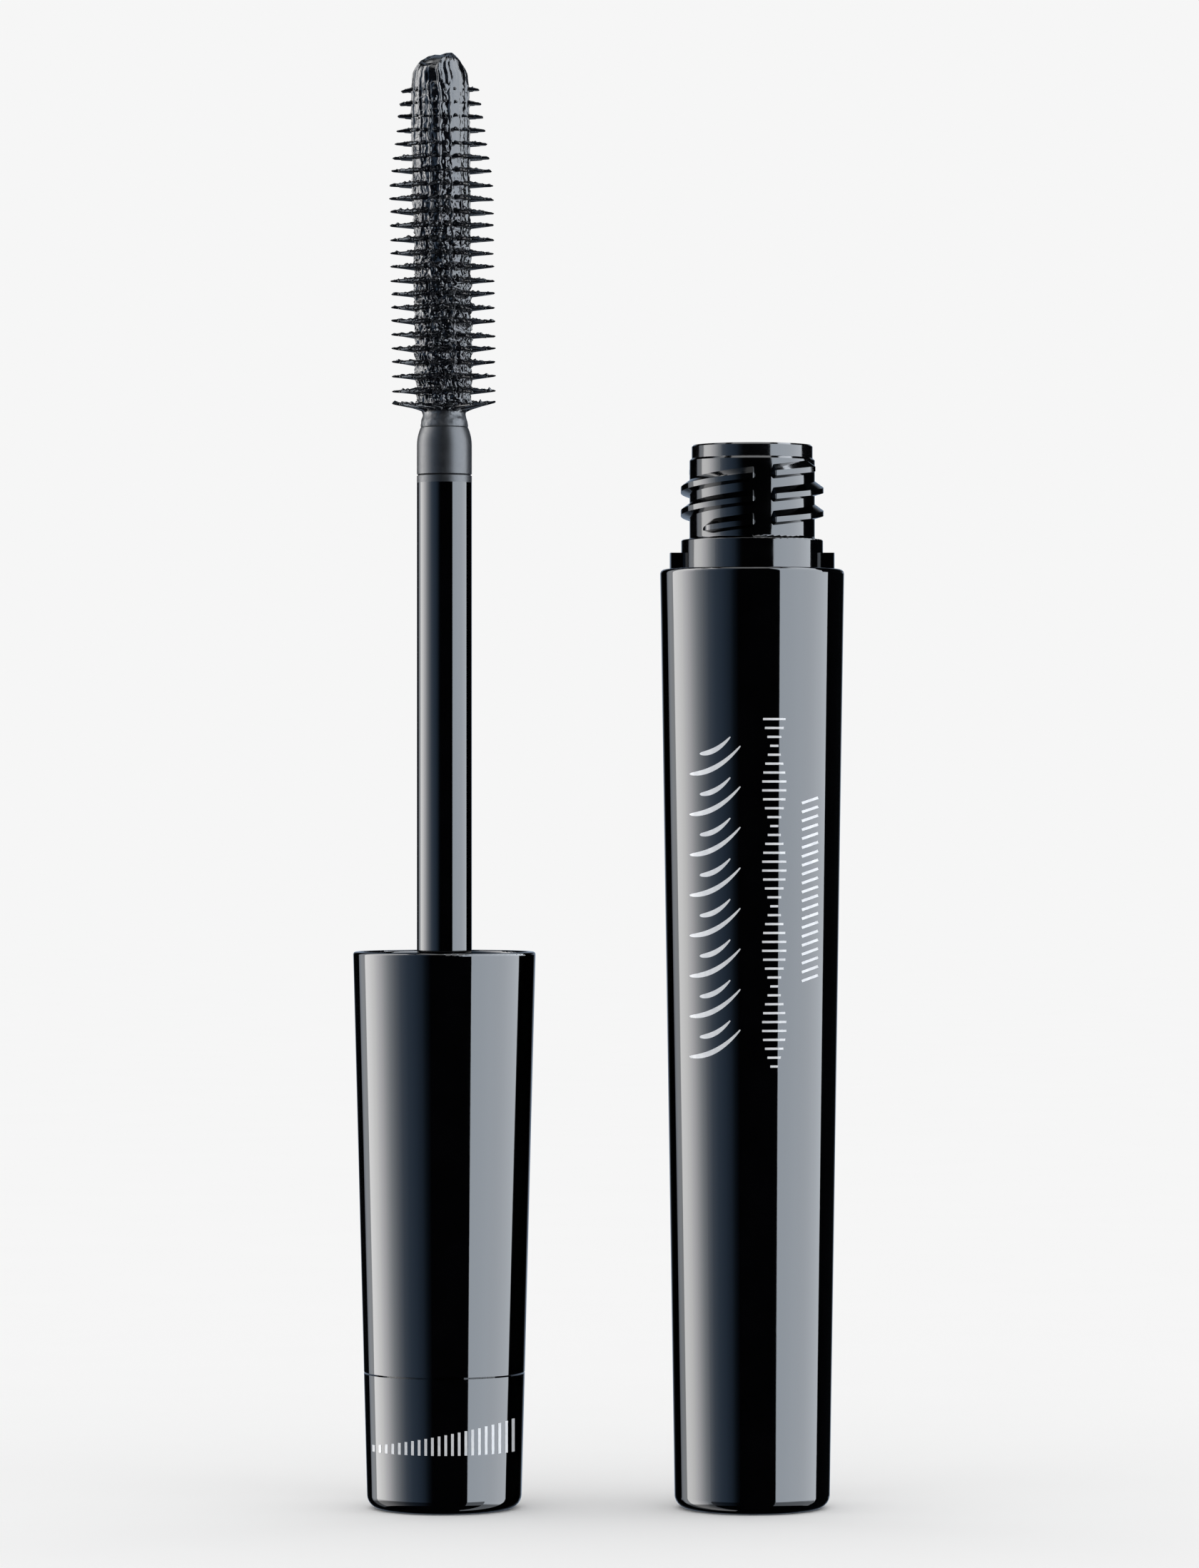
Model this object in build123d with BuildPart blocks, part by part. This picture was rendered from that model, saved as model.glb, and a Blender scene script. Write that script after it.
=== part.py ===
from build123d import *
import os
from math import cos, radians, sin

os.makedirs("parts", exist_ok=True)

# A mascara tube taken apart into its two halves, standing side by side on z = 0.
# Millimetres. The origin is the centre of the bottle's base, +Z is up and -Y is the front.
# The applicator stands on its twist knob, wand and brush up, at x = WAND_X.

# ---------------------------------------------------------------- driving dimensions

WAND_X = -28.0                  # applicator axis

# bottle shell
SHOULDER_Z = 85.3               # height of the bottle body
SHOULDER_R = 8.375
BASE_R = 7.05
BASE_ROUND = 1.2
SHOULDER_ROUND = 0.4
SHELL_FLOOR = 1.3
LABEL_R = 5.2
LABEL_THICK = 0.15

# vial and its 13 mm neck finish
VIAL_TOP_R = 6.4
VIAL_BASE_R = 6.0
VIAL_WALL = 0.8
VIAL_BASE_Z = 1.4
COLLAR_R = 6.45
COLLAR_TOP_Z = 88.0
LUG_REACH = 7.5
LUG_WIDTH = 2.6
LUG_HEIGHT = 1.5
NECK_R = 5.7
NECK_TOP_Z = 95.4
NECK_BORE_R = 4.5
NECK_TOP_CHAMFER = 0.2
NECK_ROOT_ROUND = 0.25
COLLAR_ROUND = 0.15
NECK_BORE_DEPTH = 1.3           # the neck's bore runs this far below the shoulder
VIAL_BORE_DEPTH = 3.0           # and opens into the vial's own bore this far below it
VIAL_BASE_CHAMFER = 1.0

# double-start thread
THREAD_STARTS = 2
THREAD_LEAD = 4.2
THREAD_HEIGHT = 0.8
THREAD_CREST = 0.48
THREAD_LOAD_FLANK = 0.27        # axial width of the steep flank
THREAD_LEAD_FLANK = 0.65        # axial width of the shallow flank
THREAD_FIRST_Z = 88.76
THREAD_FIRST_ANGLE = -143.0     # measured from +X, so 53 degrees left of the front
THREAD_ANGLE = 486.0
THREAD_RUN_OUT = 16.0           # degrees over which a ridge begins or ends
SPLIT_ANGLES = (-88.2, -74.0)   # the gap each mould split leaves in the thread
SPLIT_RUN_OUT = 2.5
THREAD_FOOT = 0.1               # how far a ridge's foot reaches into its wall
RIDGE_START = 0.1               # a ridge begins and ends at this share of its full size
SECTION_STEP = 12.0             # degrees between the sections of a ridge
RUN_OUT_STEPS = 4

# wiper
WIPER_FLANGE_R = 5.5
WIPER_ROUND = 0.15
WIPER_TOP_Z = 96.6
WIPER_BORE_R = 3.7
ORIFICE_R = 2.55
ORIFICE_TOP_Z = 86.6
ORIFICE_LENGTH = 1.2
FUNNEL_HEIGHT = 2.4             # the funnel that narrows to the orifice
LIP_THICK = 0.4
LIP_EDGE = 0.2
LEAD_IN = 0.5                   # the wiper's wider mouth
LEAD_IN_DEPTH = 1.2

# paste left in the vial
PASTE_GAP = 0.01
COAT_TOP_Z = 76.0
COAT_THICK = 0.3
BRUSH_CHANNEL = ((4.6, 55.0), (4.1, 22.0), (3.4, 11.0), (0, 8.0))   # radius and height

# cap and knob share one taper
CAP_RIM_Z = 50.55
CAP_RIM_R = 8.3
KNOB_BASE_R = 7.0
KNOB_TOP_Z = 12.25
SEAM = 0.15
CAP_WALL = 0.9
RIM_BORE_R = 7.6
INSERT_TOP_Z = 48.85
INSERT_STEP_Z = 37.2
RIM_ROUND = 0.25
SHELF = 0.3                     # step inside the cap that the insert sits on
JOURNAL_R = 6.0
JOURNAL_BASE_Z = 9.5
GROOVE_DEPTH = 0.55             # groove in the journal for the friction ring
GROOVE_BASE_Z = 10.7
GROOVE_TOP_Z = 11.4
FRICTION_RING_R = 0.31
WEB_TOP_Z = 14.4
WEB_BORE_R = 5.2
KNOB_BORE_R = 6.1
KNOB_FLOOR = 1.4
KNOB_DRAFT = 0.3                # the knob's bore narrows by this much down to its floor
BOSS_WALL = 1.0

# cap insert, its skirt and the thread inside it
INSERT_BORE_R = 6.65
INSERT_CREST_R = 5.92
INSERT_RIDGE_CREST = 0.3
INSERT_RIDGE_FLANK = 0.45
INSERT_THREAD_Z = 41.3
INSERT_THREAD_ANGLE = 430.0
INSERT_FLOOR = 1.2
INSERT_LEAD_IN = 0.2
INSERT_LEAD_IN_DEPTH = 0.4
SKIRT_R = 6.4
SKIRT_GAP = 0.7                 # from the barrel's top to the skirt
LINER_THICK = 0.8
LINER_GAP = 0.4                 # round the stem

# twist mechanism: half a turn of the knob draws the brush tip back by TRAVEL
TRAVEL = 6.0
TWIST_ANGLE = 180.0
PIN_R = 0.6
PIN_Z = 28.0
PIN_REACH = 5.0
SLOT_WIDTH = 1.4
BARREL_R = 5.1
BARREL_BORE_R = 3.9
BARREL_TOP_Z = 30.8
BOSS_TOP_Z = 5.0
SLOT_OVERRUN = 3.0              # degrees of slot beyond the pin at each end of the twist
SLOT_OVERCUT = 0.6              # how far the slots' cut stands past the barrel's wall
CLIP_GROOVE_DEPTH = 0.4
CLIP_GROOVE_HEIGHT = 0.8
CLIP_GAP = 0.05
CLIP_REACH = 0.95               # the ring stands this far out of the barrel
CLIP_MOUTH = (4.0, 4.4)
GUIDE_R = 3.8
GUIDE_BORE_R = 3.0
GUIDE_BASE_Z = 6.0
GUIDE_FLANGE_Z = 33.8
GUIDE_FLANGE_R = 5.58
GUIDE_CEILING = 0.2             # the tube's bore runs this far into its flange
GUIDE_SLOT_SPARE = 0.4
FOLLOWER_R = 2.9
FOLLOWER_HALF = 3.5
FOLLOWER_CHAMFER = 0.3
PIN_CHAMFER = 0.12

# stem, rod and brush
STEM_R = 2.5
STEM_BORE_R = 1.2
STEM_BASE_Z = 35.0
STEM_TOP_Z = 93.2
STEM_FLANGE_R = 4.0
SOCKET_R = 1.9                  # socket in the stem's end for the ferrule's spigot
SOCKET_DEPTH = 7.2
SEAL_DEPTH = 1.3                # room for the seal below the spigot
SEAL_LIFT = 0.05
ROD_R = 0.8
ROD_BASE_Z = 29.0
ROD_TOP_Z = 129.5
ANCHOR_R = 1.42
ANCHOR_BASE_Z = 128.0
ANCHOR_TOP_Z = 131.1
ANCHOR_NOSE = 0.8
ANCHOR_NOSE_R = 0.7
ANCHOR_GAP = 0.1
FERRULE_TOP_Z = 98.2
FERRULE_BORE_R = 1.0
CUP_R = 1.75                    # cup in the ferrule for the brush's root
CUP_DEPTH = 2.7
RING_LINE_Z = 93.9              # fine groove round the ferrule
RING_LINE_HALF = 0.08
RING_LINE_DEPTH = 0.12
FERRULE_EASE = 0.33             # the ferrule draws in by this much towards its top,
FERRULE_EASE_HEIGHT = 1.6       # over this height, in a gentle arc
BRUSH_TIP_Z = 132.3
ROW_COUNT = 24
ROW_PITCH = 1.25
FIRST_ROW_Z = 100.3
BRISTLES_PER_ROW = 16
BRISTLE_THICK = 0.45
BRISTLE_R = 4.8
TIP_ROW_R = 3.6
TAPER_ROWS = 8
BRISTLE_ROOT = 0.1              # the star's inner points lie this far inside the core
STAR_OVERLAP = 0.3
CORE_R = 2.1
CORE_WAIST = 0.2                # the bare core below the first row is thinner by this much
HEAD_SWELL = 0.3                # and its head above the last row is thicker by this much
HEAD_SWELL_HEIGHT = 1.0
TIP_ROUND_HEIGHT = 0.6
TIP_ROUND = 1.0
ROOT_FLARE = 0.4

FIT_GAP = 0.02                  # radial gap between pieces that are pressed together
RUNNING_GAP = 0.05              # radial gap round the moving rod
NEAR = 0.01                     # how near a height an edge must be to be picked there

# ---------------------------------------------------------------- planes and helpers

BOTTLE_SECTION = Plane.XZ
WAND_SECTION = Plane(origin=(WAND_X, 0, 0), x_dir=(1, 0, 0), z_dir=(0, -1, 0))
WAND_AXIS = Axis((WAND_X, 0, 0), (0, 0, 1))


def wand_level(z):
    """Horizontal plane at height z, centred on the applicator's axis."""
    return Plane(origin=(WAND_X, 0, z))


def shell_radius(z):
    """Outer radius of the bottle's taper."""
    return BASE_R + (SHOULDER_R - BASE_R) * z / SHOULDER_Z


def cap_radius(z):
    """Outer radius of the taper that the cap and the knob share."""
    return KNOB_BASE_R + (CAP_RIM_R - KNOB_BASE_R) * z / CAP_RIM_Z


def vial_radius(z):
    """Outer radius of the vial inside the shell."""
    share = (z - VIAL_BASE_Z) / (SHOULDER_Z - VIAL_BASE_Z)
    return VIAL_BASE_R + (VIAL_TOP_R - VIAL_BASE_R) * share


def half_section(points, plane):
    """Closed half-section, given as (radius, z) points."""
    with BuildSketch(plane) as section:
        with BuildLine():
            Polyline(*points, close=True)
        make_face()
    return section.sketch


def ring_section(centre_r, centre_z, section_r, plane):
    """Round section of an O-ring."""
    with BuildSketch(plane) as section:
        with Locations((centre_r, centre_z)):
            Circle(section_r)
    return section.sketch


def radial_plane(centre_x, angle):
    """Half-plane at an angle round a vertical axis: x is the radius, y is the height."""
    turn = radians(angle)
    return Plane(
        origin=(centre_x, 0, 0),
        x_dir=(cos(turn), sin(turn), 0),
        z_dir=(sin(turn), -cos(turn), 0),
    )


def ridge_section(centre_x, angle, z, profile, size):
    """Section of a thread ridge; size scales it down where the ridge runs out into the wall."""
    root_r, crest_r, crest, load_flank, lead_flank = profile
    height = root_r + (crest_r - root_r) * size
    half = crest / 2 * size
    points = [
        (root_r, z - half - load_flank * size),
        (height, z - half),
        (height, z + half),
        (root_r, z + half + lead_flank * size),
    ]
    return half_section(points, radial_plane(centre_x, angle))


def thread_ridge(centre_x, z_of, profile, run, run_outs):
    """Add one ridge over run = (first angle, last angle), which rises and falls over run_outs."""
    first, last = run
    body_first = first + run_outs[0]
    body_last = last - run_outs[1]
    body_steps = max(2, round((body_last - body_first) / SECTION_STEP))
    stretches = (
        (first, body_first, RUN_OUT_STEPS),
        (body_first, body_last, body_steps),
        (body_last, last, RUN_OUT_STEPS),
    )
    for low, high, steps in stretches:
        sections = []
        for step in range(steps + 1):
            angle = low + (high - low) * step / steps
            rise = min(1.0, (angle - first) / run_outs[0], (last - angle) / run_outs[1])
            size = RIDGE_START + (1 - RIDGE_START) * sin(radians(90 * rise))
            sections.append(ridge_section(centre_x, angle, z_of(angle), profile, size))
        loft(sections)


def neck_thread_z(angle):
    return THREAD_FIRST_Z + THREAD_LEAD * (angle - THREAD_FIRST_ANGLE) / 360


def insert_thread_z(angle):
    return INSERT_THREAD_Z + THREAD_LEAD * angle / 360


def save(part, name):
    part.label = name
    export_step(part, f"parts/{name}.step")


# ---------------------------------------------------------------- bottle

with BuildPart() as bottle_shell:
    bore_base_r = vial_radius(VIAL_BASE_Z) + FIT_GAP
    bore_top_r = vial_radius(SHOULDER_Z) + FIT_GAP
    with BuildSketch(BOTTLE_SECTION):
        with BuildLine():
            Polyline(
                (LABEL_R, LABEL_THICK),
                (LABEL_R, 0),
                (BASE_R, 0),
                (SHOULDER_R, SHOULDER_Z),
                (bore_top_r, SHOULDER_Z),
                (bore_base_r, SHELL_FLOOR),
                (0, SHELL_FLOOR),
                (0, LABEL_THICK),
                close=True,
            )
        make_face()
    revolve(axis=Axis.Z)
    outside = bottle_shell.edges().filter_by(GeomType.CIRCLE)
    base_edge = outside.filter_by_position(Axis.Z, -NEAR, NEAR).sort_by(SortBy.RADIUS)[-1]
    shoulder_edge = outside.group_by(Axis.Z)[-1].sort_by(SortBy.RADIUS)[-1]
    fillet(base_edge, BASE_ROUND)
    fillet(shoulder_edge, SHOULDER_ROUND)
save(bottle_shell.part, "bottle_shell")

with BuildPart() as base_label:
    with BuildSketch(Plane.XY):
        Circle(LABEL_R - FIT_GAP)
    extrude(amount=LABEL_THICK)
save(base_label.part, "base_label")

with BuildPart() as inner_vial:
    chamfer_z = VIAL_BASE_Z + VIAL_BASE_CHAMFER
    floor_z = VIAL_BASE_Z + VIAL_WALL
    with BuildSketch(BOTTLE_SECTION):
        with BuildLine():
            Polyline(
                (0, VIAL_BASE_Z),
                (VIAL_BASE_R - VIAL_BASE_CHAMFER, VIAL_BASE_Z),
                (vial_radius(chamfer_z), chamfer_z),
                (VIAL_TOP_R, SHOULDER_Z),
                (COLLAR_R, SHOULDER_Z),
                (COLLAR_R, COLLAR_TOP_Z),
                (NECK_R, COLLAR_TOP_Z),
                (NECK_R, NECK_TOP_Z - NECK_TOP_CHAMFER),
                (NECK_R - NECK_TOP_CHAMFER, NECK_TOP_Z),
                (NECK_BORE_R, NECK_TOP_Z),
                (NECK_BORE_R, SHOULDER_Z - NECK_BORE_DEPTH),
                (VIAL_TOP_R - VIAL_WALL, SHOULDER_Z - VIAL_BORE_DEPTH),
                (vial_radius(floor_z + VIAL_BASE_CHAMFER) - VIAL_WALL, floor_z + VIAL_BASE_CHAMFER),
                (VIAL_BASE_R - VIAL_WALL - VIAL_BASE_CHAMFER, floor_z),
                (0, floor_z),
                close=True,
            )
        make_face()
    revolve(axis=Axis.Z)
    collar_edges = inner_vial.edges().filter_by(GeomType.CIRCLE)
    collar_edges = collar_edges.filter_by_position(Axis.Z, COLLAR_TOP_Z - NEAR, COLLAR_TOP_Z + NEAR)
    neck_root, collar_rim = collar_edges.sort_by(SortBy.RADIUS)
    fillet(neck_root, NECK_ROOT_ROUND)
    fillet(collar_rim, COLLAR_ROUND)
    with BuildSketch(Plane.XY.offset(SHOULDER_Z)):
        Rectangle(2 * LUG_REACH, LUG_WIDTH)
        Circle(LUG_REACH, mode=Mode.INTERSECT)
        Circle(NECK_R, mode=Mode.SUBTRACT)
    extrude(amount=LUG_HEIGHT)
    split_first, split_last = SPLIT_ANGLES
    thread_last = THREAD_FIRST_ANGLE + THREAD_ANGLE
    runs = [
        (THREAD_FIRST_ANGLE, split_first, THREAD_RUN_OUT, SPLIT_RUN_OUT),
        (split_last, split_first + 180, SPLIT_RUN_OUT, SPLIT_RUN_OUT),
        (split_last + 180, split_first + 360, SPLIT_RUN_OUT, SPLIT_RUN_OUT),
        (split_last + 360, thread_last, SPLIT_RUN_OUT, THREAD_RUN_OUT),
    ]
    neck_profile = (
        NECK_R - THREAD_FOOT,
        NECK_R + THREAD_HEIGHT,
        THREAD_CREST,
        THREAD_LOAD_FLANK,
        THREAD_LEAD_FLANK,
    )
    for start in range(THREAD_STARTS):
        shift = 360 * start / THREAD_STARTS
        for first, last, run_in, run_out in runs:
            thread_ridge(
                0,
                lambda angle: neck_thread_z(angle - shift),
                neck_profile,
                (first + shift, last + shift),
                (run_in, run_out),
            )
save(inner_vial.part, "inner_vial")

with BuildPart() as wiper:
    orifice_base_z = ORIFICE_TOP_Z - ORIFICE_LENGTH
    sleeve_r = NECK_BORE_R - FIT_GAP
    with BuildSketch(BOTTLE_SECTION):
        with BuildLine():
            Polyline(
                (sleeve_r, NECK_TOP_Z),
                (WIPER_FLANGE_R, NECK_TOP_Z),
                (WIPER_FLANGE_R, WIPER_TOP_Z - WIPER_ROUND),
                (WIPER_FLANGE_R - WIPER_ROUND, WIPER_TOP_Z),
                (WIPER_BORE_R + LEAD_IN, WIPER_TOP_Z),
                (WIPER_BORE_R, WIPER_TOP_Z - LEAD_IN_DEPTH),
                (WIPER_BORE_R, ORIFICE_TOP_Z + FUNNEL_HEIGHT),
                (ORIFICE_R, ORIFICE_TOP_Z),
                (ORIFICE_R, orifice_base_z),
                (ORIFICE_R + LIP_THICK, orifice_base_z),
                (ORIFICE_R + LIP_THICK, ORIFICE_TOP_Z - LIP_EDGE),
                (sleeve_r, ORIFICE_TOP_Z + FUNNEL_HEIGHT + LIP_EDGE),
                close=True,
            )
        make_face()
    revolve(axis=Axis.Z)
save(wiper.part, "wiper")

with BuildPart() as mascara_paste:
    paste_r = VIAL_BASE_R - VIAL_WALL - PASTE_GAP
    coat_top_r = vial_radius(COAT_TOP_Z) - VIAL_WALL - PASTE_GAP
    with BuildSketch(BOTTLE_SECTION):
        with BuildLine():
            Polyline(
                (0, floor_z),
                (paste_r - VIAL_BASE_CHAMFER, floor_z),
                (paste_r, floor_z + VIAL_BASE_CHAMFER),
                (coat_top_r, COAT_TOP_Z),
                (coat_top_r - COAT_THICK, COAT_TOP_Z),
                *BRUSH_CHANNEL,
                close=True,
            )
        make_face()
    revolve(axis=Axis.Z)
save(mascara_paste.part, "mascara_paste")

# ---------------------------------------------------------------- cap

with BuildPart() as cap_shell:
    cap_base_z = KNOB_TOP_Z + SEAM
    groove_r = JOURNAL_R - GROOVE_DEPTH
    shelf_r = cap_radius(INSERT_STEP_Z) - CAP_WALL
    with BuildSketch(WAND_SECTION):
        with BuildLine():
            Polyline(
                (WEB_BORE_R, JOURNAL_BASE_Z),
                (JOURNAL_R, JOURNAL_BASE_Z),
                (JOURNAL_R, GROOVE_BASE_Z),
                (groove_r, GROOVE_BASE_Z),
                (groove_r, GROOVE_TOP_Z),
                (JOURNAL_R, GROOVE_TOP_Z),
                (JOURNAL_R, cap_base_z),
                (cap_radius(cap_base_z), cap_base_z),
                (CAP_RIM_R, CAP_RIM_Z),
                (RIM_BORE_R, CAP_RIM_Z),
                (RIM_BORE_R, INSERT_TOP_Z),
                (cap_radius(INSERT_TOP_Z) - CAP_WALL, INSERT_TOP_Z),
                (shelf_r, INSERT_STEP_Z),
                (shelf_r - SHELF, INSERT_STEP_Z),
                (cap_radius(WEB_TOP_Z) - CAP_WALL, WEB_TOP_Z),
                (WEB_BORE_R, WEB_TOP_Z),
                close=True,
            )
        make_face()
    revolve(axis=WAND_AXIS)
    rim_edges = cap_shell.edges().filter_by(GeomType.CIRCLE).group_by(Axis.Z)[-1]
    fillet(rim_edges, RIM_ROUND)
save(cap_shell.part, "cap_shell")

with BuildPart() as cap_insert:
    insert_floor_z = INSERT_STEP_Z + INSERT_FLOOR
    skirt_base_z = BARREL_TOP_Z + SKIRT_GAP
    skirt_bore_r = GUIDE_FLANGE_R + FIT_GAP
    with BuildSketch(WAND_SECTION):
        with BuildLine():
            Polyline(
                (STEM_R + FIT_GAP, INSERT_STEP_Z),
                (skirt_bore_r, INSERT_STEP_Z),
                (skirt_bore_r, skirt_base_z),
                (SKIRT_R, skirt_base_z),
                (SKIRT_R, INSERT_STEP_Z),
                (shelf_r - FIT_GAP, INSERT_STEP_Z),
                (cap_radius(INSERT_TOP_Z) - CAP_WALL - FIT_GAP, INSERT_TOP_Z),
                (INSERT_BORE_R + INSERT_LEAD_IN, INSERT_TOP_Z),
                (INSERT_BORE_R, INSERT_TOP_Z - INSERT_LEAD_IN_DEPTH),
                (INSERT_BORE_R, insert_floor_z),
                (STEM_R + FIT_GAP, insert_floor_z),
                close=True,
            )
        make_face()
    revolve(axis=WAND_AXIS)
    insert_profile = (
        INSERT_BORE_R + THREAD_FOOT,
        INSERT_CREST_R,
        INSERT_RIDGE_CREST,
        THREAD_LOAD_FLANK,
        INSERT_RIDGE_FLANK,
    )
    for start in range(THREAD_STARTS):
        shift = 360 * start / THREAD_STARTS
        thread_ridge(
            WAND_X,
            lambda angle: insert_thread_z(angle - shift),
            insert_profile,
            (shift, shift + INSERT_THREAD_ANGLE),
            (THREAD_RUN_OUT, THREAD_RUN_OUT),
        )
save(cap_insert.part, "cap_insert")

with BuildPart() as cap_liner:
    with BuildSketch(wand_level(insert_floor_z)):
        Circle(INSERT_CREST_R)
        Circle(STEM_R + LINER_GAP, mode=Mode.SUBTRACT)
    extrude(amount=LINER_THICK)
save(cap_liner.part, "cap_liner")

with BuildPart() as friction_ring:
    ring_z = (GROOVE_BASE_Z + GROOVE_TOP_Z) / 2
    revolve(
        ring_section(groove_r + FRICTION_RING_R, ring_z, FRICTION_RING_R, WAND_SECTION),
        axis=WAND_AXIS,
    )
save(friction_ring.part, "friction_ring")

# ---------------------------------------------------------------- twist knob

with BuildPart() as twist_knob:
    boss_r = BARREL_BORE_R - FIT_GAP
    with BuildSketch(WAND_SECTION):
        with BuildLine():
            Polyline(
                (0, 0),
                (KNOB_BASE_R, 0),
                (cap_radius(KNOB_TOP_Z), KNOB_TOP_Z),
                (KNOB_BORE_R, KNOB_TOP_Z),
                (KNOB_BORE_R - KNOB_DRAFT, KNOB_FLOOR),
                (boss_r, KNOB_FLOOR),
                (boss_r, BOSS_TOP_Z),
                (boss_r - BOSS_WALL, BOSS_TOP_Z),
                (boss_r - BOSS_WALL, KNOB_FLOOR),
                (0, KNOB_FLOOR),
                close=True,
            )
        make_face()
    revolve(axis=WAND_AXIS)
    knob_base_edge = twist_knob.edges().filter_by(GeomType.CIRCLE).group_by(Axis.Z)[0]
    fillet(knob_base_edge, BASE_ROUND)
save(twist_knob.part, "twist_knob")

with BuildPart() as cam_barrel:
    clip_groove_z = WEB_TOP_Z + SEAM
    groove_floor_r = BARREL_R - CLIP_GROOVE_DEPTH
    with BuildSketch(wand_level(KNOB_FLOOR)):
        Circle(BARREL_R)
        Circle(BARREL_BORE_R, mode=Mode.SUBTRACT)
    extrude(amount=BARREL_TOP_Z - KNOB_FLOOR)
    with BuildSketch(wand_level(clip_groove_z)):
        Circle(BARREL_R + CLIP_REACH)
        Circle(groove_floor_r, mode=Mode.SUBTRACT)
    extrude(amount=CLIP_GROOVE_HEIGHT, mode=Mode.SUBTRACT)
    # A helical slot per pin end: half a turn of the barrel moves the pin by TRAVEL.
    slot_r = (BARREL_R + BARREL_BORE_R) / 2
    slot_depth = BARREL_R - BARREL_BORE_R + SLOT_OVERCUT
    lead = TRAVEL * 360 / TWIST_ANGLE
    slot_height = TRAVEL * (1 + 2 * SLOT_OVERRUN / TWIST_ANGLE)
    slot_base_z = PIN_Z - TRAVEL - TRAVEL * SLOT_OVERRUN / TWIST_ANGLE
    for pin_angle in (0, 180):
        helix = Helix(lead, slot_height, slot_r, mode=Mode.PRIVATE)
        turned = helix.rotate(Axis.Z, pin_angle - TWIST_ANGLE - SLOT_OVERRUN)
        slot_path = turned.moved(Location((WAND_X, 0, slot_base_z)))
        across = radial_plane(WAND_X, pin_angle - TWIST_ANGLE - SLOT_OVERRUN)
        start_plane = Plane(origin=slot_path @ 0, x_dir=across.x_dir, z_dir=slot_path % 0)
        with BuildSketch(start_plane) as slot_section:
            Rectangle(slot_depth, SLOT_WIDTH)
        sweep(slot_section.sketch, path=slot_path, is_frenet=True, mode=Mode.SUBTRACT)
        for end, end_angle in ((0, -TWIST_ANGLE - SLOT_OVERRUN), (1, SLOT_OVERRUN)):
            across = radial_plane(WAND_X, pin_angle + end_angle)
            end_plane = Plane(origin=slot_path @ end, z_dir=across.x_dir)
            with BuildSketch(end_plane) as slot_end:
                Circle(SLOT_WIDTH / 2)
            extrude(slot_end.sketch, amount=slot_depth / 2, both=True, mode=Mode.SUBTRACT)
save(cam_barrel.part, "cam_barrel")

with BuildPart() as retainer_ring:
    with BuildSketch(wand_level(clip_groove_z + CLIP_GAP)):
        Circle(BARREL_R + CLIP_REACH)
        Circle(groove_floor_r + FIT_GAP, mode=Mode.SUBTRACT)
        with Locations((BARREL_R, 0)):
            Rectangle(*CLIP_MOUTH, mode=Mode.SUBTRACT)
    extrude(amount=CLIP_GROOVE_HEIGHT - 2 * CLIP_GAP)
save(retainer_ring.part, "retainer_ring")

# ---------------------------------------------------------------- guide, and the puller in it

with BuildPart() as guide_tube:
    with BuildSketch(WAND_SECTION):
        with BuildLine():
            Polyline(
                (GUIDE_BORE_R, GUIDE_BASE_Z),
                (GUIDE_R, GUIDE_BASE_Z),
                (GUIDE_R, GUIDE_FLANGE_Z),
                (GUIDE_FLANGE_R, GUIDE_FLANGE_Z),
                (GUIDE_FLANGE_R, STEM_BASE_Z),
                (STEM_BORE_R, STEM_BASE_Z),
                (STEM_BORE_R, GUIDE_FLANGE_Z + GUIDE_CEILING),
                (GUIDE_BORE_R, GUIDE_FLANGE_Z + GUIDE_CEILING),
                close=True,
            )
        make_face()
    revolve(axis=WAND_AXIS)
    slot_middle_z = PIN_Z - TRAVEL / 2
    slot_plane = Plane(origin=(WAND_X, 0, slot_middle_z), x_dir=(0, 0, 1), z_dir=(1, 0, 0))
    with BuildSketch(slot_plane):
        SlotOverall(TRAVEL + SLOT_WIDTH + GUIDE_SLOT_SPARE, SLOT_WIDTH)
    extrude(amount=GUIDE_FLANGE_R, both=True, mode=Mode.SUBTRACT)
save(guide_tube.part, "guide_tube")

with BuildPart() as follower:
    with BuildSketch(wand_level(PIN_Z)):
        Circle(FOLLOWER_R)
    extrude(amount=FOLLOWER_HALF, both=True)
    chamfer(follower.edges().filter_by(GeomType.CIRCLE), FOLLOWER_CHAMFER)
    with BuildSketch(wand_level(ROD_BASE_Z)):
        Circle(ROD_R + FIT_GAP)
    extrude(amount=PIN_Z + FOLLOWER_HALF - ROD_BASE_Z, mode=Mode.SUBTRACT)
    with BuildSketch(Plane(origin=(WAND_X, 0, PIN_Z), z_dir=(1, 0, 0))):
        Circle(PIN_R + FIT_GAP / 2)
    extrude(amount=FOLLOWER_R, both=True, mode=Mode.SUBTRACT)
save(follower.part, "follower")

with BuildPart() as cross_pin:
    with BuildSketch(Plane(origin=(WAND_X, 0, PIN_Z), z_dir=(1, 0, 0))):
        Circle(PIN_R)
    extrude(amount=PIN_REACH, both=True)
    chamfer(cross_pin.edges().filter_by(GeomType.CIRCLE), PIN_CHAMFER)
save(cross_pin.part, "cross_pin")

with BuildPart() as pull_rod:
    with BuildSketch(wand_level(ROD_BASE_Z)):
        Circle(ROD_R)
    extrude(amount=ROD_TOP_Z - ROD_BASE_Z)
save(pull_rod.part, "pull_rod")

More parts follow.
